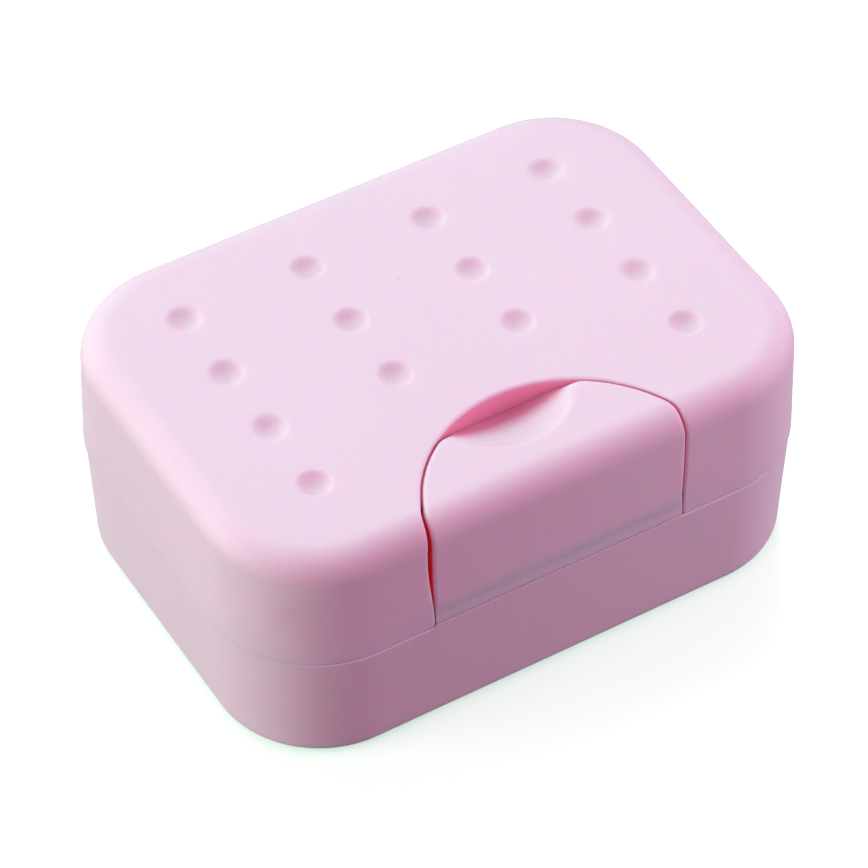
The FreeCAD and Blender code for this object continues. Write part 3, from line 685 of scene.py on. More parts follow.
def lid_grids(scene):
    """The lid as one closed sheet.

    The outer skin is ruled between the edge of the cut-out and the rim on the flat sheet, with the dimples
    let into it. A section carried round that whole border makes the rounded edges, the flange of the cut-out
    and the lap of the rim. The lining is the same sheet taken inwards by the wall.
    """
    skin = LidSkin(scene)
    shells, latch, hinge = scene.soap_box_shells, scene.soap_box_latch, scene.soap_box_hinge
    rounding = shells.edge_round
    inner, inner_in, outer, outer_in = lid_borders(scene, skin)
    flange_foot = LATCH_AXIS_Z + latch.ear_radius + 2.0 * latch.ear_room - skin.rim_height
    on_flange = step_at(flange_foot, inner[:, 1] - skin.front, 2.0 * HAIR)
    on_top = smoothstep(0.0, FLANGE_GROWS, inner[:, 1] + skin.core[1] + skin.flat_end)
    depth = latch.ear_cover + on_flange * (latch.flange_reach - latch.ear_cover)
    depth = depth + on_top * (latch.flange_depth - latch.flange_reach)
    low_width = latch.corner - CORNER_SPARE
    width = low_width + on_flange * (latch.flange_wall - low_width)
    lap = np.full(len(outer), shells.lip_height + shells.lap_gap)
    skin_inner = inner + rounding * inner_in
    skin_outer = outer + rounding * outer_in
    share = even_rows(skin, skin_inner, skin_outer, SKIN_ROWS + 1)
    places = ruled(skin_inner, skin_outer, share)
    outside = skin.point(places)
    drop = dimple_drop(scene, places)
    outside[..., 2] -= drop
    # Painted shade in each dimple, darkest where it is deepest
    hollow = smoothstep(*DIMPLE_EDGE, drop / scene.soap_box_dimples.depth)
    lining_share = share[:, ::LINING_STEP]
    lining_places = ruled(inner + width[:, None] * inner_in, outer + lap[:, None] * outer_in, lining_share)
    lining = skin.point(lining_places, lid_wall(scene, skin, lining_places))

    def rim(border, inwards, depths, widths, gap_shade):
        """The section carried along a border."""
        walls = lid_wall(scene, skin, border + widths[:, None] * inwards)
        across, inward = edge_section(rounding, depths, widths, walls)
        points = skin.point(border[:, None] + across[..., None] * inwards[:, None], inward)
        # Painted shade in the gap, stronger further out from the middle
        narrow = 1.0 + NARROW_GAP_SHADE * smoothstep(*GAP_NARROWS, np.abs(border[:, :1]))
        return Patch(points, edge_tone(inward, rounding, GAP_DEPTHS, gap_shade * narrow))

    patches = [Patch(outside, DIMPLE_SHADE * hollow), Patch(lining), rim(inner, inner_in, depth, width, 1.0),
               rim(outer, outer_in, np.full(len(outer), shells.lap_wall), lap, 0.0)]
    for patch in patches:
        patch.points = clear_of_knuckles(patch.points, hinge, BASE_KNUCKLES)
    for end in (0, -1):
        row = lining_share[end]
        border = inner[end] + row[:, None] * (outer[end] - inner[end])
        inwards = np.broadcast_to(inner_in[end], border.shape)
        strip = rim(border, inwards, depth[end] + row * (shells.lap_wall - depth[end]),
                    width[end] + row * (lap[end] - width[end]), 0.0)
        patches.append(Patch(strip.points[:, 1:], strip.tone[:, 1:]))
        patches.append(end_band(outside[end], strip.points[:, 1]))
    return patches


def end_band(fine, coarse):
    """A band between a row of many points and a row of few: one face for each step of the coarse row."""
    steps = len(coarse) - 1
    ratio = (len(fine) - 1) // steps
    fine_side = np.arange(steps)[:, None] * ratio + np.arange(ratio + 1)[None]
    coarse_side = len(fine) + np.arange(steps)[:, None] + np.array([[1, 0]])
    faces = np.concatenate([fine_side, coarse_side], axis=1)
    return Patch(np.concatenate([fine, coarse])[:, None], 0.0, faces)


# Latch

LATCH_ROWS, LATCH_LINING_ROWS = 90, 30
CROWN_POINTS, FLANK_POINTS, SIDE_POINTS, FOOT_CORNER_POINTS, FOOT_POINTS = 80, 45, 45, 8, 50
BARREL_POINTS, BARREL_ROUND = 40, 0.25 * MM
LATCH_MIDDLE = 20.0 * MM                      # foot of the latch to the middle of its rings
TOE_FADES = 12.0 * MM
ROUND_PLAIN, ROUND_HIGH, ROUND_LESS = 1.25, 0.5, 1.1
# Painted shade down the latch's edge in its gap, between these depths, and less of the edge's tone round the
# dish
EDGE_DEPTHS, EDGE_GAP_SHADE, DISH_EDGE_LESS = (0.4 * MM, 1.4 * MM), 1.2, 0.6
# Painted red of light bounced in the slot beside the latch, and painted shade in the crease at the back of
# the dish
SLOT_PAINTED_RED, CREASE_SHADE = -2.0, -0.7
DISH_HIGHLIGHT_WIDTH = 0.6 * MM                          # width of the painted highlight round the edge of the finger dish
# Ranges over which the latch changes: heights up its front, depths into its edge or its dish, shares of the
# dish's radius
HIGH_EDGE, FOOT_EDGE, RIB_STARTS = (17.0 * MM, 24.0 * MM), (0.5 * MM, 6.0 * MM), (4.0 * MM, 8.5 * MM)
# Where the slot's painted red starts and ends, up the front and into the edge
SLOT_STARTS, SLOT_ENDS = (1.0 * MM, 4.0 * MM), (24.0 * MM, 30.0 * MM)
RED_STARTS, RED_ENDS = (0.3 * MM, 1.0 * MM), (2.2 * MM, 3.0 * MM)
CREASE_REACH, CREASE_DEPTH = (0.0, 4.5 * MM), (0.5 * MM, 2.5 * MM)
DISH_END, RIB_END = (0.7, 1.0), (1.0, 1.3)


def latch_border(scene, skin):
    """The latch's edge as a closed row of places on the sheet, with normals into the latch."""
    latch = scene.soap_box_latch
    arch = ArchOutline(scene, latch.gap)
    crown, crown_out = arch.crown_arc(np.linspace(0.0, 1.0, CROWN_POINTS))
    side, side_out = arch.side_arc(np.linspace(0.0, 1.0, FLANK_POINTS)[1:])
    places, normals = laid_out(skin, np.concatenate([crown, side]), np.concatenate([crown_out, side_out]))
    radius = latch.foot_corner
    low = skin.front + radius
    straight = np.linspace((arch.half, places[-1, 1]), (arch.half, low), SIDE_POINTS)[1:]
    corner, corner_out = arc((arch.half - radius, low), radius,
                             np.linspace(0.0, -QUARTER_TURN, FOOT_CORNER_POINTS)[1:])
    foot = np.linspace((arch.half - radius, skin.front), (0.0, skin.front), FOOT_POINTS)[1:]
    half = np.concatenate([places, straight, corner, foot])
    half_in = -np.concatenate([normals, np.broadcast_to([1.0, 0.0], straight.shape), corner_out,
                               np.broadcast_to([0.0, -1.0], foot.shape)])
    border = np.concatenate([half, mirrored(half)[1:]])
    inwards = np.concatenate([half_in, mirrored(half_in)[1:]])
    above = border[:, 1] - skin.front
    border = border + side_shift(border, skin, LATCH_LEFT, LATCH_RIGHT)
    border[:, 1] += toe_rise(scene, border[:, 0]) * (1.0 - smoothstep(0.0, TOE_FADES, above))
    in_dish = 1.0 - smoothstep(*DISH_END, np.abs(border[:, 0]) / latch.dish_radius)
    in_dish = in_dish * (border[:, 1] > arch.side_centre[1])
    border -= ((latch.gap - latch.dish_gap) * in_dish)[:, None] * inwards
    return border, inwards, in_dish


def dish_edge(scene, place):
    """Distance of a place of the top outside the edge of the finger dish.

    Distances outside the dish and inside the arch are joined with a round corner, so the tips are round.
    """
    latch = scene.soap_box_latch
    middle = np.array([0.0, latch.arch_start + latch.arch_depth - HALF_WIDTH + latch.dish_setback])
    outside = np.linalg.norm(place - middle, axis=-1) - latch.dish_radius
    inside = ArchOutline(scene, latch.gap).depth_inside(place)
    tip = latch.dish_tip
    return tip - np.hypot(np.maximum(tip - inside, 0.0), np.maximum(tip - outside, 0.0))


def dish_drop(scene, place, ball=0.0, wall=0.0):
    """Depth of the finger dish at a place: a ball let into the top, with its edge softened."""
    latch = scene.soap_box_latch
    ball_radius = (latch.dish_radius ** 2 + latch.dish_depth ** 2) / (2.0 * latch.dish_depth)
    rise = ball_radius - latch.dish_depth + wall
    radius = np.clip(latch.dish_radius + dish_edge(scene, place), 0.0, ball_radius + ball)
    drop = np.sqrt(np.maximum((ball_radius + ball) ** 2 - radius ** 2, 0.0)) - rise
    return soft_positive(drop, latch.dish_softness)


def latch_grids(scene):
    """The latch as one closed sheet, and its barrel.

    Rings from the middle of the latch to its edge make the outer skin, with the dish let into it; a section
    carried round the edge turns it over, and rings back to the middle make the lining.
    """
    skin = LidSkin(scene)
    shells, latch = scene.soap_box_shells, scene.soap_box_latch
    border, inwards, in_dish = latch_border(scene, skin)
    above = border[:, 1] - skin.front
    high = smoothstep(*HIGH_EDGE, above)
    low = 1.0 - smoothstep(*FOOT_EDGE, above)
    rounding = shells.edge_round * (ROUND_PLAIN + ROUND_HIGH * high * (1.0 - in_dish)
                                    - ROUND_LESS * (in_dish + low))
    plain = np.full(len(border), shells.wall)
    off_dish = smoothstep(*RIB_END, np.abs(border[:, 0]) / latch.dish_radius)
    rib = latch.rib * smoothstep(*RIB_STARTS, above) * off_dish
    across, inward = edge_section(rounding, plain + rib, plain / 2, plain)
    # Painted red on the wall of the slot at the left of the latch, standing for light bounced inside the slot
    on_slot = (border[:, 0] < 0.0) * (inwards[:, 0] > 0.5)
    slot = on_slot * smoothstep(*SLOT_STARTS, above) * (1.0 - smoothstep(*SLOT_ENDS, above))
    red = smoothstep(*RED_STARTS, inward) * (1.0 - smoothstep(*RED_ENDS, inward))
    red[:, WALL_POINTS:] = 0.0
    # A painted highlight along the rounded edge and painted shade down it in the gap, with the slot's painted
    # red added
    tone = edge_tone(inward, rounding[:, None], EDGE_DEPTHS, EDGE_GAP_SHADE)
    tone = tone * (1.0 - DISH_EDGE_LESS * in_dish[:, None]) + SLOT_PAINTED_RED * slot[:, None] * red
    edge_places = border[:, None] + across[..., None] * inwards[:, None]
    middle = np.array([[0.0, skin.front + LATCH_MIDDLE]])
    out_places = ruled(middle, edge_places[:, 0], np.linspace(0.0, 1.0, LATCH_ROWS)[None])
    back_places = ruled(middle, edge_places[:, -1], np.linspace(1.0, 0.0, LATCH_LINING_ROWS)[None])
    places = np.concatenate([out_places, edge_places[:, 1:-1], back_places], axis=1)
    depth = np.concatenate([np.zeros(out_places.shape[:2]), inward[:, 1:-1],
                            np.full(back_places.shape[:2], shells.wall)], axis=1)
    sheet = skin.point(places, depth)
    share = smoothstep(0.0, shells.wall, depth)
    sheet[..., 2] -= ((1.0 - share) * dish_drop(scene, places)
                      + share * dish_drop(scene, places, latch.dish_wall, shells.wall))
    # Painted shade in the crease at the back of the finger dish, and a painted highlight along the dish's
    # edge
    behind = ArchOutline(scene, latch.gap).depth_inside(out_places)
    in_hollow = smoothstep(*CREASE_DEPTH, dish_drop(scene, out_places))
    crease = CREASE_SHADE * (1.0 - smoothstep(*CREASE_REACH, behind)) * in_hollow
    near_dish = out_places[..., 1] > skin.laid_out_y(-skin.core[1])
    crease = crease + near_dish * np.exp(-(dish_edge(scene, out_places) / DISH_HIGHLIGHT_WIDTH) ** 2)
    tones = np.concatenate([crease, tone[:, 1:-1], np.zeros(back_places.shape[:2])], axis=1)
    barrel = arc((LATCH_AXIS_Y, LATCH_AXIS_Z), latch.barrel,
                 np.linspace(0.0, 2.0 * np.pi, BARREL_POINTS + 1)[:-1])[0]
    half = latch.width / 2 - latch.gap
    return [Patch(sheet, tones), along_x(barrel, -half, half, BARREL_ROUND)]


# Base

SMALL_ROUND = 0.25 * MM
HOLLOW_RUN = 2.0 * MM
BOTTOM_POINTS, INSIDE_POINTS, RIM_POINTS, WALL_ROWS, INNER_ROWS, FLOOR_ROWS = 9, 8, 6, 14, 12, 9
BASE_PITCH = 1.0 * MM
LIP_RAMP, TOE_BLEND = 5.0 * MM, 1.0 * MM
TROUGH_GAP, TROUGH_DEEPEST = 0.04 * MM, 3.0 * MM
SUNK = 0.3 * MM                               # how far a post or the pad reaches into the shell
TRAY_POST = (44.0 * MM, 20.0 * MM)
POST, PEG, PEG_HEIGHT = 3.5 * MM, 1.5 * MM, 2.0 * MM
POST_FLARE = ((0.8 * MM, -0.1 * MM), (0.2 * MM, 0.3 * MM), (0.0, 0.9 * MM))
POST_ROUND, SEAT_GAP = 0.3 * MM, 0.02 * MM
EAR_POINTS = 17


def base_profile(scene):
    """Section of the base as insets from the rim and heights, from the foot ring round to the floor inside.

    Foot hollow, foot ring, bottom rounding, leaning wall, rounded rim, lip, inner wall, inner rounding.
    """
    shells = scene.soap_box_shells
    rim = HINGE_Z - shells.seam / 2
    lean = math.tan(shells.base_draft)
    cosine = math.cos(shells.base_draft)
    rounding = shells.edge_round / 2

    def corner(radius, floor, inset, count):
        """Rounding between a floor and the leaning wall, from the floor up."""
        centre = (inset + (rim - floor - radius) * lean + radius / cosine, floor + radius)
        turn = np.linspace(-QUARTER_TURN, -shells.base_draft, count)
        return np.stack([centre[0] - radius * np.cos(turn), centre[1] + radius * np.sin(turn)], -1)

    foot, recess, small = shells.foot_width, shells.foot_recess, SMALL_ROUND
    hollow = np.array([[foot + HOLLOW_RUN, recess], [foot + small, recess], [foot, recess - small],
                       [foot, small], [foot - small, 0.0]])
    turn = np.linspace(0.0, QUARTER_TURN, RIM_POINTS)
    edge = np.stack([rounding * (lean + 1.0 - np.cos(turn)), rim - rounding * (1.0 - np.sin(turn))], -1)
    outside = corner(shells.bottom_round, 0.0, 0.0, BOTTOM_POINTS)
    wall = np.linspace(outside[-1], edge[0], WALL_ROWS)[1:-1]
    lip_out, lip_in, lip_top = shells.lap_wall + shells.lap_gap, shells.wall, rim + shells.lip_height
    lip = np.array([[lip_out - small, rim], [lip_out, rim + small], [lip_out, lip_top - small],
                    [lip_out + small, lip_top], [lip_in - small, lip_top], [lip_in, lip_top - small],
                    [lip_in, rim]])
    inside = corner(shells.inner_round, shells.wall, shells.wall, INSIDE_POINTS)[::-1]
    inner_wall = np.linspace(lip[-1], inside[0], INNER_ROWS)[1:-1]
    return np.concatenate([hollow, outside, wall, edge, lip, inner_wall, inside])


def base_stations(scene, core):
    """Ways round the rim from the middle of the rear to that of the front, closer where the rim changes."""
    quarter = scene.soap_box_shells.corner * QUARTER_TURN
    corner_end = core[0] + quarter
    side_end = corner_end + 2.0 * core[1]
    front = side_end + quarter
    whole = front + core[0]
    trough = whole - scene.soap_box_latch.width / 2
    marks = [core[0], corner_end, side_end, front, trough - HAIR, trough + HAIR, whole]
    return stretch([0.0] + room_edges(scene.soap_box_hinge, LID_KNUCKLES) + marks, BASE_PITCH)


def base_grids(scene):
    """The base as one closed sheet: its section carried round the rim and closed over floor and underside.

    The lip runs out beside the ears, and a trough in the front rim makes room for the toe of the latch.
    """
    skin = LidSkin(scene)
    shells, latch, hinge = scene.soap_box_shells, scene.soap_box_latch, scene.soap_box_hinge
    rim = HINGE_Z - shells.seam / 2
    places, outward = skin.rim_place(base_stations(scene, skin.core), shells.corner)
    foot = places - skin.rim * outward
    foot = np.concatenate([foot, mirrored(foot)[1:]])
    outward = np.concatenate([outward, mirrored(outward)[1:]])
    inset, height = base_profile(scene).T
    overhang = shells.overhang * np.abs(outward[:, 0]) - shells.rim_step * np.abs(outward[:, 1])
    reach = shells.corner - inset[None] - overhang[:, None]
    plan = foot[:, None] + reach[..., None] * outward[:, None]
    beside, across = np.abs(plan[..., 0]), plan[..., 1]
    height = np.broadcast_to(height, plan.shape[:2]).copy()
    lip_start = latch.width / 2 + latch.ear_thickness + latch.ear_room
    kept = np.where(across < 0.0, smoothstep(lip_start, lip_start + LIP_RAMP, beside), 1.0)
    height = np.where(height > rim, rim + (height - rim) * kept, height)
    under = (1.0 - step_at(latch.width / 2, beside)) * (across < 0.0)
    rise = toe_rise(scene, plan[..., 0])
    height = height + under * rise * smoothstep(rim - TOE_BLEND, rim - shells.edge_round, height)
    toe = LATCH_AXIS_Z - skin.rim_height - rise
    trough_radius = np.hypot(LATCH_AXIS_Y + HALF_WIDTH - shells.rim_step, toe) + TROUGH_GAP
    from_axis = across - LATCH_AXIS_Y
    trough = LATCH_AXIS_Z - np.sqrt(np.maximum(trough_radius ** 2 - from_axis ** 2, 0.0))
    inside = under * (np.abs(from_axis) < trough_radius) * (height > rim - TROUGH_DEEPEST)
    height = height - inside * np.maximum(height - trough, 0.0)
    shell = np.concatenate([plan, height[..., None]], -1)
    shell = clear_of_knuckles(shell, hinge, LID_KNUCKLES)
    closing = np.linspace(0.0, 1.0, FLOOR_ROWS)[None, :-1, None]
    shrink = np.concatenate([closing, closing, np.ones_like(closing)], -1)
    patches = [Patch(np.concatenate([shell[:, :1] * shrink, shell, shell[:, -1:] * shrink[:, ::-1]], axis=1))]
    patches += knuckles(hinge, BASE_KNUCKLES, False) + ears(scene) + posts(scene)
    pad, sunk = shells.foot_pad, shells.foot_recess + SUNK
    profile = [(0.0, sunk), (pad, sunk), (pad, SMALL_ROUND), (pad - SMALL_ROUND, 0.0), (0.0, 0.0)]
    patches.append(turned(profile, (0.0, 0.0)))
    return patches


def ears(scene):
    """Two upright ears with round heads that hold the latch pins."""
    latch = scene.soap_box_latch
    radius = latch.ear_radius
    head = arc((LATCH_AXIS_Y, LATCH_AXIS_Z), radius, np.linspace(0.0, np.pi, EAR_POINTS))[0]
    low = HINGE_Z - scene.soap_box_shells.seam / 2 - latch.ear_foot
    outline = np.concatenate([head, [[LATCH_AXIS_Y - radius, low], [LATCH_AXIS_Y + radius, low]]])
    return both_ways(outline, latch.width / 2, latch.width / 2 + latch.ear_thickness, SMALL_ROUND)


def posts(scene):
    """Four posts with pegs that carry the tray, each with a flared foot."""
    wall = scene.soap_box_shells.wall
    seat, tip = TRAY_FLOOR, TRAY_FLOOR + PEG_HEIGHT
    profile = [(0.0, wall - SUNK)] + [(POST + out, wall + up) for out, up in POST_FLARE]
    profile += [(POST, seat - POST_ROUND), (POST - POST_ROUND, seat - SEAT_GAP), (PEG, seat - SEAT_GAP),
                (PEG, tip - POST_ROUND), (PEG - POST_ROUND, tip), (0.0, tip)]
    x, y = TRAY_POST
    return [turned(profile, (sx * x, sy * y)) for sx in (-1, 1) for sy in (-1, 1)]


# Materials

TONES = (-2.0, 1.0)                           # from the painted red of the slot to the painted highlight of the palest edge
# Colour of the painted highlight: the tint taken part of the way to white, and held below white
HIGHLIGHT_LIMIT, HIGHLIGHT_SHARE = 0.98, 0.55
DRIFT_SHADES, GLOSS_DRIFT, MARK_SHADE = (0.975, 1.01), 0.04, 0.92
# Tones over which the painted glow of the deepest gaps and the slot sets in, and its strength
PAINTED_GLOW_TONES, SLOT_PAINTED_GLOW = (-0.9, -1.2), 0.15
WIRE_ROUGHNESS = (0.22, 0.42)


class Tree:
    """A node tree with a short way to add nodes to it."""

    def __init__(self, tree):
        self.tree = tree

    def fill(self, node, values):
        """Sets the inputs of a node: links an output of another node, or writes a plain value."""
        for name, value in values.items():
            if isinstance(value, bpy.types.NodeSocket):
                self.tree.links.new(value, node.inputs[name])
            else:
                node.inputs[name].default_value = value

    def add(self, kind, output, values=None, **settings):
        """The named output of a new node with these settings and inputs."""
        node = self.tree.nodes.new("ShaderNode" + kind)
        for name, value in settings.items():
            setattr(node, name, value)
        self.fill(node, values or {})
        return node.outputs[output]

    def remap(self, value, start=(0.0, 1.0), end=(0.0, 1.0)):
        """A value carried from one range to another and held at the ends."""
        return self.add("MapRange", "Result", {"Value": value, "From Min": start[0], "From Max": start[1],
                                               "To Min": end[0], "To Max": end[1]})


def shader(name):
    """A new node material with its node tree and its principled shader."""
    material = bpy.data.materials.new(name)
    material.use_nodes = True
    return material, Tree(material.node_tree), material.node_tree.nodes["Principled BSDF"]


def satin_plastic(name, tint, gap_shade, slot, roughness, mark, mark_radius):
    """Moulded satin plastic: a fine grain, a slow drift of tint and gloss, and light that spreads inside.

    The tone of the mesh picks the tint as painted light: a painted highlight on thin edges, painted shade
    inside the gaps, the dimples and the dish's crease, and a painted red for light bounced in the latch's
    slot, where a painted glow also stands in for light that comes through the wall. The moulding mark on the
    top is a small darker spot.
    """
    material, tree, principled = shader(name)
    place = tree.add("TexCoord", "Object")
    drift = tree.add("TexNoise", "Fac", {"Scale": 28.0, "Detail": 3.0, "Vector": place})
    tone = tree.add("Attribute", "Fac", attribute_name="tone")
    # The ramp turns the tone into painted light: the slot's painted red, the painted gap shade, the plain
    # tint and the painted highlight
    tints = tree.add("ValToRGB", "Color", {"Fac": tree.remap(tone, TONES)})
    stops = tints.node.color_ramp.elements
    stops[0].color = [*slot, 1.0]
    stops[1].color = [min(HIGHLIGHT_LIMIT, 1.0 - HIGHLIGHT_SHARE * (1.0 - c)) for c in tint] + [1.0]
    for share, stop in ((1 / 3, gap_shade), (2 / 3, tint)):
        stops.new(share).color = [*stop, 1.0]
    shade = tree.remap(drift, (0.3, 0.7), DRIFT_SHADES)
    reach = tree.add("VectorMath", "Value", {0: place, 1: mark}, operation="DISTANCE")
    spot = tree.remap(reach, (0.3 * mark_radius, mark_radius), (MARK_SHADE, 1.0))
    both = tree.add("Math", "Value", {0: shade, 1: spot}, operation="MULTIPLY")
    grain = tree.add("TexNoise", "Fac", {"Scale": 4200.0, "Detail": 2.0, "Vector": place})
    tree.fill(principled, {
        "Base Color": tree.add("VectorMath", "Vector", {"Vector": tints, "Scale": both}, operation="SCALE"),
        # Painted glow in the deepest gaps and the slot, where nothing is a lamp
        "Emission Color": tints,
        "Emission Strength": tree.remap(tone, PAINTED_GLOW_TONES, (0.0, SLOT_PAINTED_GLOW)),
        "Roughness": tree.remap(drift, end=(roughness - GLOSS_DRIFT, roughness + GLOSS_DRIFT)),
        "Normal": tree.add("Bump", "Normal", {"Strength": 0.06, "Distance": 0.05 * MM, "Height": grain}),
        "Specular IOR Level": 0.3,
        "Subsurface Weight": 0.6,
        "Subsurface Radius": (1.0, 0.25, 0.45),
        "Subsurface Scale": 2.5 * MM,
    })
    return material


def drawn_steel(name, tint):
    """Drawn wire: bright metal with fine lines along it."""
    material, tree, principled = shader(name)
    place = tree.add("TexCoord", "Object")
    drawn = tree.add("Mapping", "Vector", {"Scale": (200.0, 9000.0, 9000.0), "Vector": place})
    lines = tree.add("TexNoise", "Fac", {"Scale": 1.0, "Vector": drawn})
    gloss = tree.remap(lines, end=WIRE_ROUGHNESS)
    tree.fill(principled, {"Base Color": [*tint, 1.0], "Metallic": 1.0, "Roughness": gloss})
    return material


def seen_rays(tree):
    """A socket that is 1 for what the camera sees, straight or in a reflection or through a clear piece."""
    seen = tree.add("LightPath", "Is Camera Ray")
    path = seen.node.outputs
    for kind in ("Is Glossy Ray", "Is Transmission Ray"):
        seen = tree.add("Math", "Value", {0: seen, 1: path[kind]}, operation="MAXIMUM")
    return seen


def pale_floor(name, tint, bounce, paleness):
    """A matt floor that keeps the shadow and looks white to the camera where nothing shades it."""
    material, tree, principled = shader(name)
    camera = tree.add("LightPath", "Is Camera Ray")
    choose = tree.add("Mix", "Result", {"A": [*bounce, 1.0], "B": [*tint, 1.0], "Factor": camera},
                      data_type="RGBA")
    tree.fill(principled, {"Base Color": choose, "Roughness": 0.9, "Specular IOR Level": 0.1})
    glow = tree.add("Emission", "Emission", {"Color": [*paleness, 1.0], "Strength": seen_rays(tree)})
    both = tree.add("AddShader", "Shader", {0: principled.outputs["BSDF"], 1: glow})
    tree.fill(material.node_tree.nodes["Material Output"], {"Surface": both})
    return material


def shared(name, make, *settings):
    """The material of that name, made on first use."""
    return bpy.data.materials.get(name) or make(name, *settings)


def plastic(scene, name, tint, mark):
    """Satin plastic of a tint, with its moulding mark at a place."""
    colours = scene.soap_box_colours
    return shared(name, satin_plastic, tuple(tint), tuple(colours.gap_shade), tuple(colours.slot),
                  colours.roughness, mark, scene.soap_box_shells.gate_mark)


def shell_material(scene):
    """The pink of the shells."""
    mark = (0.0, scene.soap_box_shells.gate_mark_back, TOP)
    return plastic(scene, "shell_satin", scene.soap_box_colours.shell, mark)


# Operators

class SOAPBOX_OT_lid(bpy.types.Operator):
    """Build the lid with its dimples, cut-out and hinge knuckles"""
    bl_idname = "soapbox.lid"
    bl_label = "Lid"

    def execute(self, context):
        scene = context.scene
        grids = lid_grids(scene) + knuckles(scene.soap_box_hinge, LID_KNUCKLES, True)
        piece("lid", grids, shell_material(scene), "lid", ["lid_shell"])
        return {"FINISHED"}


class SOAPBOX_OT_latch(bpy.types.Operator):
    """Build the latch with its finger dish and barrel"""
    bl_idname = "soapbox.latch"
    bl_label = "Latch"

    def execute(self, context):
        scene = context.scene
        piece("latch_flap", latch_grids(scene), shell_material(scene), "latch", ["latch"])
        return {"FINISHED"}


class SOAPBOX_OT_base(bpy.types.Operator):
    """Build the base with its lip, ears, knuckles and tray posts"""
    bl_idname = "soapbox.base"
    bl_label = "Base"

    def execute(self, context):
        scene = context.scene
        piece("base", base_grids(scene), shell_material(scene), "base", ["base_shell"])
        return {"FINISHED"}


class SOAPBOX_OT_tray(bpy.types.Operator):
    """Finish the drain tray"""
    bl_idname = "soapbox.tray"
    bl_label = "Drain Tray"

    def execute(self, context):
        scene = context.scene
        material = plastic(scene, "tray_satin", scene.soap_box_colours.tray, (0.0, 0.0, TRAY_FLOOR))
        frame["nodes"]["drain_tray"].material_slots[0].material = material
        return {"FINISHED"}


class SOAPBOX_OT_pins(bpy.types.Operator):
    """Finish the steel pins of the hinges and the latch"""
    bl_idname = "soapbox.pins"
    bl_label = "Pins"

    def execute(self, context):
        material = shared("pin_wire", drawn_steel, tuple(context.scene.soap_box_colours.steel))
        for name, node in frame["nodes"].items():
            if "_pin_" in name:
                node.material_slots[0].material = material
        return {"FINISHED"}


FLOOR_HALF = 3.0
SENSOR = 36.0
NEAREST, FARTHEST = 0.01, 20.0
LIGHT_PLACES = {"key": (-0.90, 0.20, 0.14), "top": (0.20, 0.75, 1.00), "side": (0.30, -0.20, 0.13)}
LIGHT_SIZES = {"key": 0.7, "top": 0.8, "side": 0.25}


def soft_light(name, place, size, power, tint):
    """A square soft light that faces the middle of the object."""
    lamp = bpy.data.lights.new(name, "AREA")
    lamp.shape = "SQUARE"
    lamp.size = size
    lamp.energy = power
    lamp.color = tint
    item = bpy.data.objects.new(name, lamp)
    item.location = place
    aim = Vector((0.0, 0.0, TOP / 2)) - Vector(place)
    item.rotation_euler = aim.to_track_quat("-Z", "Y").to_euler()
    bpy.context.scene.collection.objects.link(item)


def surroundings(stage):
    """A world whose tinted light falls on the object from all round, while what is seen of it is white."""
    world = bpy.data.worlds.new("studio")
    world.use_nodes = True
    tree = Tree(world.node_tree)
    around = world.node_tree.nodes["Background"]
    tree.fill(around, {"Color": [*stage.around_tint, 1.0], "Strength": stage.around})
    backdrop = tree.add("Background", "Background", {"Color": (1.0, 1.0, 1.0, 1.0)})
    choose = tree.add("MixShader", "Shader", {"Fac": seen_rays(tree), 1: around.outputs["Background"],
                                              2: backdrop})
    tree.fill(world.node_tree.nodes["World Output"], {"Surface": choose})
    return world


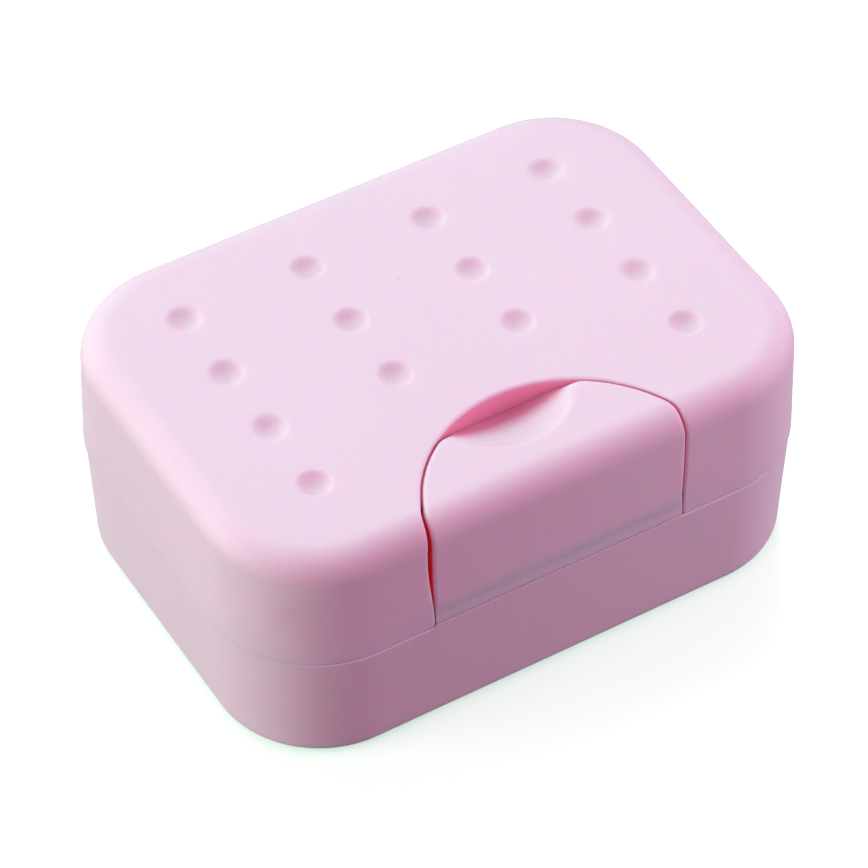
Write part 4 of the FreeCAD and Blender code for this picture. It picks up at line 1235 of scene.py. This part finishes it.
class SOAPBOX_OT_stage(bpy.types.Operator):
    """Set the floor, the light, the surroundings and the camera"""
    bl_idname = "soapbox.stage"
    bl_label = "Stage"

    def execute(self, context):
        scene = context.scene
        stage, colours = scene.soap_box_stage, scene.soap_box_colours
        corners = [(x * FLOOR_HALF, y * FLOOR_HALF, 0.0) for x, y in ((-1, -1), (1, -1), (1, 1), (-1, 1))]
        floor_mesh = bpy.data.meshes.new("floor")
        floor_mesh.from_pydata(corners, [], [(0, 1, 2, 3)])
        floor_mesh.materials.append(shared("floor_pale", pale_floor, tuple(colours.floor),
                                           tuple(colours.bounce), tuple(colours.floor_glow)))
        floor = bpy.data.objects.new("floor", floor_mesh)
        scene.collection.objects.link(floor)
        for name, place in LIGHT_PLACES.items():
            soft_light(name + "_light", place, LIGHT_SIZES[name], getattr(stage, name),
                       getattr(stage, name + "_tint"))
        scene.world = surroundings(stage)
        lens = bpy.data.cameras.new("camera")
        lens.lens = stage.lens
        lens.sensor_width = SENSOR
        lens.clip_start = NEAREST
        lens.clip_end = FARTHEST
        camera = bpy.data.objects.new("camera", lens)
        camera.location = stage.eye
        low = math.cos(stage.elevation)
        look = Vector((-math.sin(stage.azimuth) * low, math.cos(stage.azimuth) * low,
                       -math.sin(stage.elevation)))
        camera.rotation_euler = look.to_track_quat("-Z", "Y").to_euler()
        scene.collection.objects.link(camera)
        scene.camera = camera
        scene.view_settings.view_transform = "Standard"
        return {"FINISHED"}


class SOAPBOX_PT_build(bpy.types.Panel):
    """Lists the steps that build the soap box"""
    bl_idname = "SOAPBOX_PT_build"
    bl_label = "Soap Box"
    bl_space_type = "VIEW_3D"
    bl_region_type = "UI"
    bl_category = "Soap Box"

    def draw(self, context):
        for operator in OPERATORS:
            self.layout.operator(operator.bl_idname)
        for group, properties in PROPERTY_GROUPS.items():
            box = self.layout.box()
            for name in properties.__annotations__:
                box.prop(getattr(context.scene, group), name)


OPERATORS = (SOAPBOX_OT_lid, SOAPBOX_OT_latch, SOAPBOX_OT_base, SOAPBOX_OT_tray, SOAPBOX_OT_pins,
             SOAPBOX_OT_stage)


def register():
    """Adds the property groups, the operators and the panel."""
    for name, group in PROPERTY_GROUPS.items():
        bpy.utils.register_class(group)
        setattr(bpy.types.Scene, name, PointerProperty(type=group))
    for item in OPERATORS + (SOAPBOX_PT_build,):
        bpy.utils.register_class(item)


def unregister():
    """Takes them away again."""
    for item in reversed(OPERATORS + (SOAPBOX_PT_build,)):
        bpy.utils.unregister_class(item)
    for name, group in PROPERTY_GROUPS.items():
        delattr(bpy.types.Scene, name)
        bpy.utils.unregister_class(group)


def main():
    """Builds every piece and the stage."""
    register()
    bpy.ops.soapbox.lid()
    bpy.ops.soapbox.latch()
    bpy.ops.soapbox.base()
    bpy.ops.soapbox.tray()
    bpy.ops.soapbox.pins()
    bpy.ops.soapbox.stage()


if __name__ == "__main__":
    main()
